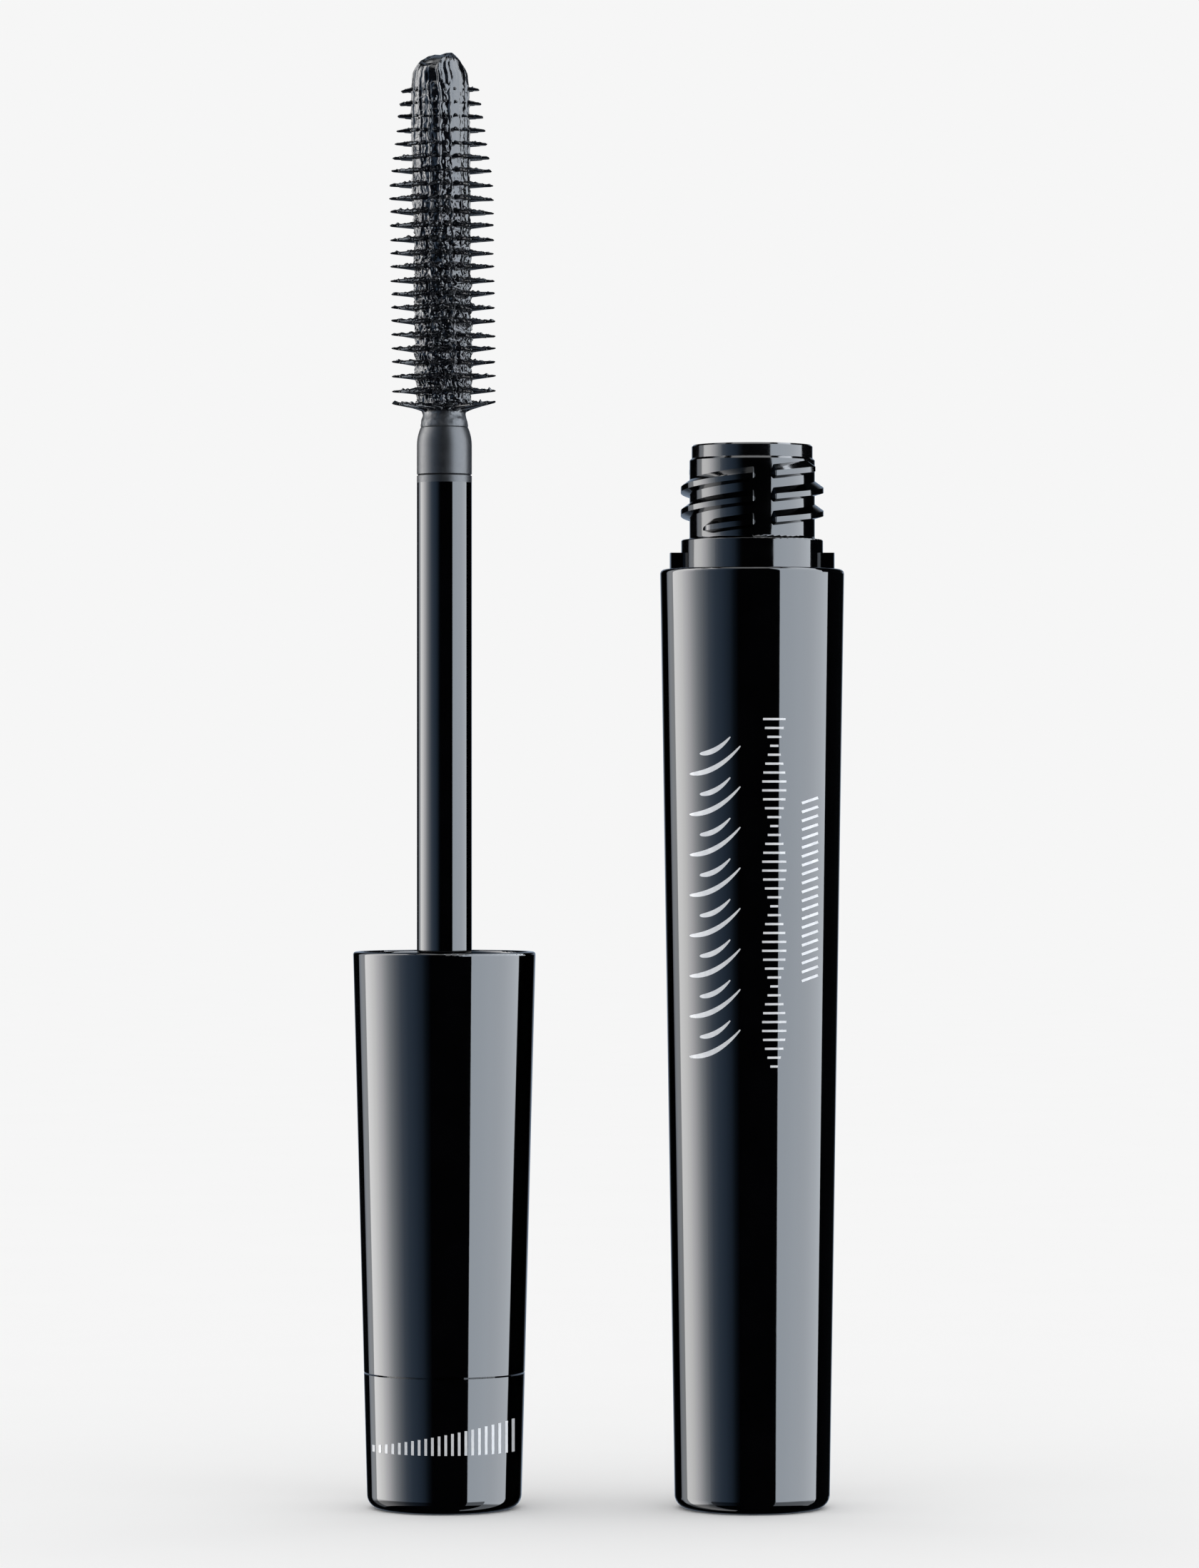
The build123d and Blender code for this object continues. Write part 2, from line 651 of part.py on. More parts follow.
with BuildPart() as tip_anchor:
    anchor_bore_r = ROD_R + FIT_GAP / 2
    with BuildSketch(WAND_SECTION):
        with BuildLine():
            Polyline(
                (anchor_bore_r, ANCHOR_BASE_Z),
                (ANCHOR_R, ANCHOR_BASE_Z),
                (ANCHOR_R, ANCHOR_TOP_Z - ANCHOR_NOSE),
                (ANCHOR_NOSE_R, ANCHOR_TOP_Z),
                (0, ANCHOR_TOP_Z),
                (0, ROD_TOP_Z),
                (anchor_bore_r, ROD_TOP_Z),
                close=True,
            )
        make_face()
    revolve(axis=WAND_AXIS)
save(tip_anchor.part, "tip_anchor")

# ---------------------------------------------------------------- stem, ferrule and brush

with BuildPart() as stem:
    seal_seat_z = STEM_TOP_Z - SOCKET_DEPTH
    with BuildSketch(WAND_SECTION):
        with BuildLine():
            Polyline(
                (STEM_BORE_R, STEM_BASE_Z),
                (STEM_FLANGE_R, STEM_BASE_Z),
                (STEM_FLANGE_R, INSERT_STEP_Z),
                (STEM_R, INSERT_STEP_Z),
                (STEM_R, STEM_TOP_Z),
                (SOCKET_R, STEM_TOP_Z),
                (SOCKET_R, seal_seat_z),
                (STEM_BORE_R, seal_seat_z),
                close=True,
            )
        make_face()
    revolve(axis=WAND_AXIS)
save(stem.part, "stem")

with BuildPart() as stem_seal:
    seal_inner_r = ROD_R + RUNNING_GAP
    seal_r = (SOCKET_R - FIT_GAP - seal_inner_r) / 2
    seal_z = seal_seat_z + seal_r + SEAL_LIFT
    revolve(
        ring_section(seal_inner_r + seal_r, seal_z, seal_r, WAND_SECTION),
        axis=WAND_AXIS,
    )
save(stem_seal.part, "stem_seal")

with BuildPart() as ferrule:
    spigot_r = SOCKET_R - FIT_GAP
    spigot_base_z = seal_seat_z + SEAL_DEPTH
    cup_base_z = FERRULE_TOP_Z - CUP_DEPTH
    ease_start = (STEM_R, FERRULE_TOP_Z - FERRULE_EASE_HEIGHT)
    ease_end = (STEM_R - FERRULE_EASE, FERRULE_TOP_Z)
    with BuildSketch(WAND_SECTION):
        with BuildLine():
            TangentArc(ease_start, ease_end, tangent=(0, 1))
            Polyline(
                ease_end,
                (CUP_R, FERRULE_TOP_Z),
                (CUP_R, cup_base_z),
                (FERRULE_BORE_R, cup_base_z),
                (FERRULE_BORE_R, spigot_base_z),
                (spigot_r, spigot_base_z),
                (spigot_r, STEM_TOP_Z),
                (STEM_R, STEM_TOP_Z),
                (STEM_R, RING_LINE_Z - RING_LINE_HALF),
                (STEM_R - RING_LINE_DEPTH, RING_LINE_Z),
                (STEM_R, RING_LINE_Z + RING_LINE_HALF),
                ease_start,
            )
        make_face()
    revolve(axis=WAND_AXIS)
save(ferrule.part, "ferrule")

with BuildPart() as brush_sleeve:
    last_row_z = FIRST_ROW_Z + ROW_PITCH * (ROW_COUNT - 1)
    root_r = CUP_R - FIT_GAP
    core_bore_r = ANCHOR_R + ANCHOR_GAP
    with BuildSketch(WAND_SECTION):
        with BuildLine():
            Polyline(
                (FERRULE_BORE_R, cup_base_z),
                (root_r, cup_base_z),
                (root_r, FERRULE_TOP_Z),
                (CORE_R, FERRULE_TOP_Z + ROOT_FLARE),
                (CORE_R - CORE_WAIST, FIRST_ROW_Z - 2 * CORE_WAIST),
                (CORE_R, FIRST_ROW_Z),
                (CORE_R, last_row_z),
                (CORE_R + HEAD_SWELL, last_row_z + HEAD_SWELL_HEIGHT),
                (CORE_R - CORE_WAIST, BRUSH_TIP_Z - TIP_ROUND_HEIGHT),
                (CORE_R - TIP_ROUND, BRUSH_TIP_Z),
                (0, BRUSH_TIP_Z),
                (0, ANCHOR_TOP_Z + ANCHOR_GAP),
                (core_bore_r, ANCHOR_TOP_Z + ANCHOR_GAP),
                (core_bore_r, ANCHOR_BASE_Z - ANCHOR_GAP),
                (FERRULE_BORE_R, ANCHOR_BASE_Z - ANCHOR_GAP),
                close=True,
            )
        make_face()
    revolve(axis=WAND_AXIS)
    half_pitch = 180 / BRISTLES_PER_ROW
    for row in range(ROW_COUNT):
        rows_below_tip = ROW_COUNT - 1 - row
        taper = max(0.0, 1 - rows_below_tip / (TAPER_ROWS - 1))
        reach = BRISTLE_R + (TIP_ROW_R - BRISTLE_R) * taper
        star = []
        for point in range(2 * BRISTLES_PER_ROW):
            radius = (CORE_R - BRISTLE_ROOT, reach)[point % 2]
            turn = radians(half_pitch * point)
            star.append((radius * cos(turn), radius * sin(turn)))
        with BuildSketch(wand_level(FIRST_ROW_Z + ROW_PITCH * row - BRISTLE_THICK / 2)):
            Polygon(*star, align=None)
            Circle(CORE_R - STAR_OVERLAP, mode=Mode.SUBTRACT)
        extrude(amount=BRISTLE_THICK)
save(brush_sleeve.part, "brush_sleeve")
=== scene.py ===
"""Looks of an open mascara tube: its bottle, and its applicator standing on the twist knob.

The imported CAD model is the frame. Its pieces get procedural materials, the brush is
rebuilt with its bristles and a coat of wet paste, and plain marks stand where the print was.
Lengths in this file are in millimetres until a mesh is made; MM turns them into metres.
"""

import math

import bpy
import numpy as np
from mathutils import Matrix, Vector
from mathutils.bvhtree import BVHTree


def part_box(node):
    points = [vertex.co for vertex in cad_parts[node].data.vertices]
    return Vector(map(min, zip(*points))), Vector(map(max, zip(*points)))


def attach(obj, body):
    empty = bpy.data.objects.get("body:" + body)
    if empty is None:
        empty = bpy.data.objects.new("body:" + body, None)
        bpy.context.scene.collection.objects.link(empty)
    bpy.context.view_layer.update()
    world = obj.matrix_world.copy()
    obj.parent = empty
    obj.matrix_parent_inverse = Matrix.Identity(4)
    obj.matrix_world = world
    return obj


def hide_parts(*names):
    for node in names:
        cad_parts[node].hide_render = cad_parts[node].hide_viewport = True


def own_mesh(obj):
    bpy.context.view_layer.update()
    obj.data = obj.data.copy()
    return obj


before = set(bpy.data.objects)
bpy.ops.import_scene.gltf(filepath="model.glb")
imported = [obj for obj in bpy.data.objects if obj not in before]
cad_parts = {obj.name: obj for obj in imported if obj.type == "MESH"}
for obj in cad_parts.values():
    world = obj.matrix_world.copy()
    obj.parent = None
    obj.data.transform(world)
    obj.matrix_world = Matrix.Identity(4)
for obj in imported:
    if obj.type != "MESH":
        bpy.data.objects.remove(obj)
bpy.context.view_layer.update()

MM = 0.001
scene = bpy.context.scene

stem_low, stem_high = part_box("stem")
WAND_X = (stem_low.x + stem_high.x) / 2 / MM
BOTTLE_X = 0.0
BRUSH_TIP_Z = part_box("brush_sleeve")[1].z / MM
FERRULE_TOP_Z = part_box("ferrule")[1].z / MM
BOTTLE_TOP_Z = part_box("wiper")[1].z / MM
CAP_TOP_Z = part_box("cap_shell")[1].z / MM


# ---------------------------------------------------------------- camera

CAMERA_PLACE = (-0.013886, -0.575, 0.064)       # metres
CAMERA_LENS = 145.1
CAMERA_SENSOR = 36.0
CAMERA_SHIFT_Y = 0.0126

camera_data = bpy.data.cameras.new("camera")
camera_data.lens = CAMERA_LENS
camera_data.sensor_width = CAMERA_SENSOR
camera_data.sensor_fit = "AUTO"
camera_data.shift_y = CAMERA_SHIFT_Y
camera_data.clip_start = 0.01
camera = bpy.data.objects.new("camera", camera_data)
camera.location = CAMERA_PLACE
camera.rotation_euler = (math.radians(90), 0, 0)
scene.collection.objects.link(camera)
scene.camera = camera
scene.view_settings.view_transform = "Standard"


# ---------------------------------------------------------------- mesh helpers

def mesh_object(name, points, faces, smooth=True):
    """A mesh object from points in millimetres and lists of corner numbers."""
    mesh = bpy.data.meshes.new(name)
    mesh.from_pydata((np.asarray(points, float) * MM).tolist(), [], faces)
    mesh.polygons.foreach_set("use_smooth", [smooth] * len(mesh.polygons))
    mesh.update()
    piece = bpy.data.objects.new(name, mesh)
    scene.collection.objects.link(piece)
    return piece


def grid_faces(rows, columns, closed, first=0):
    """Quads between neighbouring rows of points; closed joins the last column to the first."""
    faces = []
    for row in range(rows - 1):
        for column in range(columns if closed else columns - 1):
            right = (column + 1) % columns
            a = first + row * columns
            faces.append((a + column, a + right, a + columns + right, a + columns + column))
    return faces


def end_fans(first, last, columns, low_tip, high_tip):
    """Triangles that close both ends of a tube whose end rings begin at points first and last."""
    faces = []
    for column in range(columns):
        after = (column + 1) % columns
        faces.append((first + after, first + column, low_tip))
        faces.append((last + column, last + after, high_tip))
    return faces


def smooth_step(t):
    return t * t * (3 - 2 * t)


def ring_noise(turns, along, around_cells, along_cells, seed):
    """Smooth noise from -1 to 1 on a tube: turns is periodic, along runs from 0 to 1."""
    values = np.random.default_rng(seed).uniform(-1, 1, (along_cells + 2, around_cells))
    x = (turns % 1.0) * around_cells
    y = np.clip(along, 0, 1) * along_cells
    i, j = np.floor(x).astype(int), np.floor(y).astype(int)
    fx, fy = smooth_step(x - i), smooth_step(y - j)
    i, k = i % around_cells, (i + 1) % around_cells
    low = values[j, i] * (1 - fx) + values[j, k] * fx
    high = values[j + 1, i] * (1 - fx) + values[j + 1, k] * fx
    return low * (1 - fy) + high * fy


# ---------------------------------------------------------------- materials

def nodes_of(material):
    material.use_nodes = True
    tree = material.node_tree
    return tree, tree.nodes["Principled BSDF"]


def linked_noise(tree, grain, stretch=(1, 1, 1), detail=3.0):
    """The value of a noise whose grain is in metres, in the object's own space."""
    place = tree.nodes.new("ShaderNodeTexCoord")
    mapping = tree.nodes.new("ShaderNodeMapping")
    mapping.inputs["Scale"].default_value = stretch
    noise = tree.nodes.new("ShaderNodeTexNoise")
    noise.inputs["Scale"].default_value = 1 / grain
    noise.inputs["Detail"].default_value = detail
    tree.links.new(place.outputs["Object"], mapping.inputs["Vector"])
    tree.links.new(mapping.outputs["Vector"], noise.inputs["Vector"])
    return noise.outputs["Fac"]


def ranged(tree, value, low, high, start=0.3, end=0.7):
    """Value between start and end becomes low to high."""
    node = tree.nodes.new("ShaderNodeMapRange")
    node.inputs["From Min"].default_value = start
    node.inputs["From Max"].default_value = end
    node.inputs["To Min"].default_value = low
    node.inputs["To Max"].default_value = high
    tree.links.new(value, node.inputs["Value"])
    return node.outputs["Result"]


def mixed_colour(tree, value, first, second):
    ramp = tree.nodes.new("ShaderNodeValToRGB")
    ramp.color_ramp.elements[0].position = 0.35
    ramp.color_ramp.elements[0].color = (*first, 1)
    ramp.color_ramp.elements[1].position = 0.65
    ramp.color_ramp.elements[1].color = (*second, 1)
    tree.links.new(value, ramp.inputs["Fac"])
    return ramp.outputs["Color"]


def bumped(tree, shader, value, height, normal=None):
    """Adds value as a height in metres to the shader's normal."""
    bump = tree.nodes.new("ShaderNodeBump")
    bump.inputs["Strength"].default_value = 1.0
    bump.inputs["Distance"].default_value = height
    tree.links.new(value, bump.inputs["Height"])
    if normal is not None:
        tree.links.new(normal, bump.inputs["Normal"])
    tree.links.new(bump.outputs["Normal"], shader.inputs["Normal"])
    return bump.outputs["Normal"]


def moulded(name, first, second, rough, tint_grain, rough_grain, bumps, rough_stretch=(1, 1, 1)):
    """Moulded plastic or rubber: two close colours, uneven gloss and one or more grains of relief."""
    material = bpy.data.materials.new(name)
    tree, shader = nodes_of(material)
    tint = linked_noise(tree, tint_grain)
    tree.links.new(mixed_colour(tree, tint, first, second), shader.inputs["Base Color"])
    gloss = linked_noise(tree, rough_grain, rough_stretch, 5.0)
    tree.links.new(ranged(tree, gloss, rough[0], rough[1]), shader.inputs["Roughness"])
    normal = None
    for grain, height in bumps:
        normal = bumped(tree, shader, linked_noise(tree, grain), height, normal)
    return material


def steel(name):
    """Bright drawn steel, with fine lines along the axis it was turned about."""
    material = bpy.data.materials.new(name)
    tree, shader = nodes_of(material)
    shader.inputs["Metallic"].default_value = 1.0
    lines = linked_noise(tree, 0.0006, (1, 1, 40), 4.0)
    tree.links.new(
        mixed_colour(tree, lines, (0.50, 0.50, 0.51), (0.66, 0.66, 0.67)), shader.inputs["Base Color"]
    )
    tree.links.new(ranged(tree, lines, 0.16, 0.34), shader.inputs["Roughness"])
    bumped(tree, shader, lines, 0.000002)
    return material


def foil(name):
    """Printed silver-white ink, a little worn and grained."""
    material = bpy.data.materials.new(name)
    tree, shader = nodes_of(material)
    shader.inputs["IOR"].default_value = 1.6
    wear = linked_noise(tree, 0.0009, (1, 1, 1), 6.0)
    tree.links.new(
        mixed_colour(tree, wear, (0.50, 0.51, 0.53), (0.60, 0.61, 0.62)), shader.inputs["Base Color"]
    )
    tree.links.new(ranged(tree, wear, 0.42, 0.28), shader.inputs["Roughness"])
    bumped(tree, shader, linked_noise(tree, 0.00015), 0.000004)
    return material


def foam(name):
    """Closed-cell liner foam: small round cells pressed into a pale sheet."""
    material = bpy.data.materials.new(name)
    tree, shader = nodes_of(material)
    place = tree.nodes.new("ShaderNodeTexCoord")
    cells = tree.nodes.new("ShaderNodeTexVoronoi")
    cells.inputs["Scale"].default_value = 1 / 0.0002
    tree.links.new(place.outputs["Object"], cells.inputs["Vector"])
    tree.links.new(
        mixed_colour(tree, cells.outputs["Distance"], (0.50, 0.50, 0.49), (0.64, 0.64, 0.62)),
        shader.inputs["Base Color"],
    )
    tree.links.new(ranged(tree, cells.outputs["Distance"], 0.75, 0.9), shader.inputs["Roughness"])
    bumped(tree, shader, cells.outputs["Distance"], 0.00003)
    return material


def wet_paste(name, dry_z, wet_z):
    """Wet paste: near-black and glossy above wet_z, drier and greyer below dry_z."""
    material = bpy.data.materials.new(name)
    tree, shader = nodes_of(material)
    place = tree.nodes.new("ShaderNodeTexCoord")
    split = tree.nodes.new("ShaderNodeSeparateXYZ")
    tree.links.new(place.outputs["Object"], split.inputs["Vector"])
    wetness = tree.nodes.new("ShaderNodeMapRange")
    wetness.inputs["From Min"].default_value = dry_z * MM
    wetness.inputs["From Max"].default_value = wet_z * MM
    wetness.interpolation_type = "SMOOTHSTEP"
    tree.links.new(split.outputs["Z"], wetness.inputs["Value"])
    speckle = linked_noise(tree, 0.0004, (1, 1, 1), 5.0)
    wet = ranged(tree, speckle, 0.07, 0.16)
    dry = ranged(tree, speckle, 0.30, 0.46)
    rough = tree.nodes.new("ShaderNodeMix")
    tree.links.new(wetness.outputs["Result"], rough.inputs["Factor"])
    tree.links.new(dry, rough.inputs["A"])
    tree.links.new(wet, rough.inputs["B"])
    tree.links.new(rough.outputs["Result"], shader.inputs["Roughness"])
    colour = tree.nodes.new("ShaderNodeMix")
    colour.data_type = "RGBA"
    tree.links.new(wetness.outputs["Result"], colour.inputs["Factor"])
    tree.links.new(
        mixed_colour(tree, speckle, (0.016, 0.018, 0.021), (0.028, 0.030, 0.034)), colour.inputs["A"]
    )
    tree.links.new(
        mixed_colour(tree, speckle, (0.0015, 0.0018, 0.0030), (0.0040, 0.0045, 0.0065)), colour.inputs["B"]
    )
    tree.links.new(colour.outputs["Result"], shader.inputs["Base Color"])
    coarse = bumped(tree, shader, linked_noise(tree, 0.00035), 0.00003)
    bumped(tree, shader, linked_noise(tree, 0.0001), 0.000006, coarse)
    return material


BLACK = ((0.0003, 0.0003, 0.0005), (0.0006, 0.0006, 0.0009))
SHELL = moulded(
    "shell_gloss", *BLACK, (0.02, 0.05), 0.004, 0.006, ((0.0016, 0.0000012),), (1, 1, 0.35)
)
VIAL = moulded("vial_gloss", *BLACK, (0.05, 0.11), 0.003, 0.002, ((0.0009, 0.0000025),))
WIPER = moulded(
    "wiper_soft", (0.0012, 0.0012, 0.0015), (0.0024, 0.0024, 0.0028), (0.06, 0.12), 0.0012, 0.0008,
    ((0.0008, 0.000003),),
)
VIAL_PASTE = moulded(
    "paste_in_vial", (0.002, 0.002, 0.003), (0.006, 0.006, 0.007), (0.1, 0.24), 0.0015, 0.001,
    ((0.0012, 0.00006), (0.0003, 0.00001)),
)
LABEL = moulded(
    "blank_label", (0.70, 0.70, 0.69), (0.78, 0.78, 0.77), (0.45, 0.62), 0.0007, 0.0004,
    ((0.00012, 0.000006),),
)
INSERT = moulded(
    "insert_plastic", (0.014, 0.014, 0.016), (0.022, 0.022, 0.024), (0.32, 0.46), 0.0015, 0.0006,
    ((0.0002, 0.000003),),
)
SEAL = moulded(
    "seal_rubber", (0.012, 0.012, 0.012), (0.022, 0.022, 0.022), (0.55, 0.75), 0.0009, 0.0005,
    ((0.0002, 0.000006),),
)
ACETAL = moulded(
    "natural_acetal", (0.70, 0.69, 0.66), (0.77, 0.76, 0.73), (0.28, 0.42), 0.002, 0.0009,
    ((0.0004, 0.000003),),
)
FERRULE = moulded(
    "ferrule_matte", (0.004, 0.0046, 0.006), (0.008, 0.009, 0.011), (0.34, 0.42), 0.0008, 0.0003,
    ((0.00009, 0.0000035),),
)
RUBBER = moulded(
    "brush_rubber", (0.003, 0.003, 0.004), (0.007, 0.007, 0.008), (0.2, 0.34), 0.0006, 0.0003,
    ((0.0001, 0.000003),),
)
LINER = foam("liner_foam")
STEEL = steel("spring_steel")
FOIL = foil("silver_foil")
CORE_WET = wet_paste("wet_paste", 99.2, 99.9)
BRISTLE_WET = wet_paste("wet_bristle_paste", 98.6, 99.2)

FINISHES = {
    "bottle_shell": SHELL,
    "inner_vial": VIAL,
    "wiper": WIPER,
    "mascara_paste": VIAL_PASTE,
    "base_label": LABEL,
    "cap_shell": SHELL,
    "cap_insert": INSERT,
    "cap_liner": LINER,
    "stem": SHELL,
    "guide_tube": ACETAL,
    "stem_seal": SEAL,
    "friction_ring": SEAL,
    "ferrule": FERRULE,
    "twist_knob": SHELL,
    "cam_barrel": ACETAL,
    "retainer_ring": STEEL,
    "follower": ACETAL,
    "cross_pin": STEEL,
    "pull_rod": ACETAL,
    "tip_anchor": ACETAL,
    "brush_sleeve": RUBBER,
}
SMOOTH_BELOW = math.radians(32)

for node_name, finish in FINISHES.items():
    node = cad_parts[node_name]
    node.data.materials.clear()
    node.data.materials.append(finish)
    node.data.polygons.foreach_set("use_smooth", [True] * len(node.data.polygons))
    node.data.set_sharp_from_angle(angle=SMOOTH_BELOW)


# ---------------------------------------------------------------- brush shape

ROW_COUNT = 24
ROW_PITCH = 1.25
FIRST_ROW_Z = 100.3
COLUMNS = 16
COLUMN_TURN = 1 / COLUMNS
BRISTLE_REACH = 4.8
TIP_ROW_REACH = 3.6
TAPER_ROWS = 8
ROOT_R = 1.9
LEAN = -0.42
BACKWARD_RISE = 0.075           # bristles at the back point up a little, those in front down
WORN_ROWS = 5                   # in front, the top rows are short stubs
WORN_REACH = 2.72
WORN_TURN = 0.19
ROW_SWAY = 0.06                 # how far off true a row, and each of its bristles, may be
TURN_SCATTER = 0.0016
ROOT_SCATTER = 0.012
TIP_SCATTER = 0.018
REACH_SCATTER = 0.010
TIP_CURVE = 1.3                 # a bristle bends to its tip's height by this power

rows = np.arange(ROW_COUNT)
row_z = FIRST_ROW_Z + ROW_PITCH * rows
rows_from_top = ROW_COUNT - 1 - rows
row_taper = np.clip(1 - rows_from_top / (TAPER_ROWS - 1), 0, 1)
row_reach = BRISTLE_REACH + (TIP_ROW_REACH - BRISTLE_REACH) * row_taper
row_rise = np.interp(rows, (0, 1, 2, 6, 12, 23), (0.22, -0.04, 0.13, 0.13, 0.0, -0.2))
row_sink = np.interp(rows, (0, 1, 2), (0.22, 0.04, 0.0))


def leaned(points):
    """The brush bends a little to one side above the ferrule, more towards its tip."""
    moved = np.array(points, float)
    rise = np.clip((moved[..., 2] - FERRULE_TOP_Z) / (BRUSH_TIP_Z - FERRULE_TOP_Z), 0, 1)
    moved[..., 0] += LEAN * rise
    return moved


def bristle_lines():
    """Azimuth, root height, tip height and reach of every bristle, each a little off true."""
    chance = np.random.default_rng(11)
    turns, roots, tips, reaches = [], [], [], []
    for row in rows:
        sway = chance.normal(0, ROW_SWAY, 5)
        for column in range(COLUMNS):
            turn = (column + 0.5) * COLUMN_TURN
            together = np.interp(turn, (0, 0.25, 0.5, 0.75, 1), (*sway[:4], sway[0]))
            backward = -math.cos(2 * math.pi * turn) * row_reach[row] * BACKWARD_RISE
            in_front = max(0.0, math.cos(2 * math.pi * turn))
            turns.append(turn + chance.normal(0, TURN_SCATTER))
            roots.append(row_z[row] - row_sink[row] + chance.normal(0, ROOT_SCATTER))
            rise = row_rise[row] * (1 - in_front) + together + backward
            tips.append(row_z[row] + rise + chance.normal(0, TIP_SCATTER))
            reach = row_reach[row] * (1 - abs(chance.normal(0, REACH_SCATTER)))
            worn = max(0.0, 1 - rows_from_top[row] / WORN_ROWS) ** 0.5
            if min(turn, 1 - turn) < WORN_TURN:
                reach += (WORN_REACH - reach) * worn
            reaches.append(reach)
    return np.array(turns), np.array(roots), np.array(tips), np.array(reaches)


TURNS, ROOTS, TIPS, REACHES = bristle_lines()


def around_wand(turns, radius, z):
    """Points on circles about the applicator's axis; turn 0 faces the front."""
    angle = 2 * math.pi * np.asarray(turns)
    x = WAND_X + radius * np.sin(angle)
    y = -radius * np.cos(angle)
    return np.stack(np.broadcast_arrays(x, y, z), -1)


def spines(start_r, share, ring_count, segments, width, lumps=None):
    """Tapered spines on every bristle line, from start_r out to a share of its reach.

    width gives a spine's radius for a place from 0 to 1 along it; lumps adds to it
    for that place, the spine's number and the angle round the spine.
    """
    count = len(TURNS)
    place = np.linspace(0, 1, ring_count)
    angle = np.linspace(0, 2 * math.pi, segments, endpoint=False)
    radial = start_r + (REACHES[:, None] * share - start_r) * place
    to_tip = (radial - ROOT_R) / (REACHES[:, None] - ROOT_R)
    height = ROOTS[:, None] + (TIPS - ROOTS)[:, None] * to_tip ** TIP_CURVE
    radius = np.broadcast_to(width(place)[None, :, None], (count, ring_count, segments)).copy()
    if lumps is not None:
        radius += lumps(place, angle)
    turn = 2 * math.pi * TURNS[:, None, None]
    side = radius * np.cos(angle)
    up = radius * np.sin(angle)
    out = radial[:, :, None]
    x = WAND_X + out * np.sin(turn) + side * np.cos(turn)
    y = -out * np.cos(turn) + side * np.sin(turn)
    z = height[:, :, None] + up
    tube = np.stack((x, y, z), -1).reshape(count, ring_count * segments, 3)
    ends = []
    for end in (0, -1):
        reach = radial[:, end] + (0.0 if end == 0 else width(place)[-1])
        ends.append(np.stack((
            WAND_X + reach * np.sin(turn[:, 0, 0]),
            -reach * np.cos(turn[:, 0, 0]),
            height[:, end],
        ), -1)[:, None, :])
    points = np.concatenate((tube, ends[0], ends[1]), 1)
    per_spine = ring_count * segments + 2
    faces = []
    for number in range(count):
        first = number * per_spine
        last = first + (ring_count - 1) * segments
        tips = first + per_spine - 2, first + per_spine - 1
        faces += [quad[::-1] for quad in grid_faces(ring_count, segments, True, first)]
        faces += end_fans(first, last, segments, *tips)
    return points.reshape(-1, 3), faces


# ---------------------------------------------------------------- clean brush

# Radius and height down the outside of the sleeve, from its open root to its domed end.
SLEEVE_PROFILE = (
    (1.2, 95.6), (1.95, 95.6), (2.0, FERRULE_TOP_Z - 0.1), (1.95, 98.6), (1.75, 99.4), (1.9, 100.2),
    (2.05, 101.0), (2.05, 128.6), (2.1, 129.8), (1.95, 130.8), (1.5, 131.5), (0.8, 131.9),
)
SLEEVE_POLE_Z = 132.0
SLEEVE_AROUND = 64
BRISTLE_AROUND = 10
BRISTLE_ALONG = 7
BRISTLE_TAPER = 0.9


def tapered(tip_r, swell):
    """A spine's radius along it: tip_r at the tip, and swell more at the root."""
    return lambda t: tip_r + swell * (1 - t) ** BRISTLE_TAPER


def clean_brush():
    """The moulded elastomer sleeve: a hollow core with a domed end and its bristles."""
    turns = np.arange(SLEEVE_AROUND) / SLEEVE_AROUND
    rings = [around_wand(turns, radius, z) for radius, z in SLEEVE_PROFILE]
    pole = around_wand([0.0], 0.0, SLEEVE_POLE_Z)
    core = np.concatenate(rings + [pole])
    core_faces = grid_faces(len(SLEEVE_PROFILE), SLEEVE_AROUND, True)
    last = (len(SLEEVE_PROFILE) - 1) * SLEEVE_AROUND
    for corner in range(SLEEVE_AROUND):
        core_faces.append((last + corner, last + (corner + 1) % SLEEVE_AROUND, len(core) - 1))
    bristle_points, bristle_faces = spines(
        ROOT_R, 1.0, BRISTLE_ALONG, BRISTLE_AROUND, tapered(0.058, 0.16)
    )
    shift = len(core)
    points = np.concatenate((core, bristle_points))
    faces = core_faces + [tuple(c + shift for c in face) for face in bristle_faces]
    return mesh_object("brush_bristles", leaned(points), faces)


brush_bristles = clean_brush()
brush_bristles.data.materials.append(RUBBER)


# ---------------------------------------------------------------- paste on the brush

PASTE_PROFILE = (
    (1.6, 98.05), (2.12, 98.22), (2.15, 98.4), (2.12, 98.85), (1.98, 99.25), (1.93, 99.45), (2.06, 99.8),
    (2.28, 100.4), (2.36, 102.0), (2.42, 106.0), (2.48, 122.0), (2.50, 128.6), (2.48, 129.6),
    (2.42, 130.4), (2.20, 130.85), (1.92, 131.25), (1.52, 131.75), (1.15, 132.02), (0.6, 132.2),
)
BRUSH_START = (99.6, 100.4)     # heights over which the coat goes from the bare neck to the brush,
CALM = (106, 124)               # from rough to calm,
BAND = (116, 123)               # gains a smooth band at the right,
SMEAR = (129.0, 129.8)          # and goes over into the tip's smear
PASTE_AROUND = 288
PASTE_ALONG = 640
PASTE_ROUNDS = 6                # times the profile's corners are averaged
CORE_PIECES = 3
FACET_POINT = (0.94, -0.5, BRUSH_TIP_Z - 0.05)
FACET_NORMAL = (-0.28, -0.42, 0.86)
FACET_DEPTH = 0.94              # how much of what stands over the facet is taken off
PEAK = (0.95, -0.35)            # the smear's highest point, from the brush's axis
PEAK_HEIGHT = 0.24
PEAK_WIDTH = 0.55
FOLD = (                        # the smear's edge: height, and turn from the front
    (129.0, -0.004), (130.1, -0.010), (130.6, -0.018), (131.1, -0.015), (131.7, 0.016), (132.0, 0.056),
    (132.3, 0.16),
)
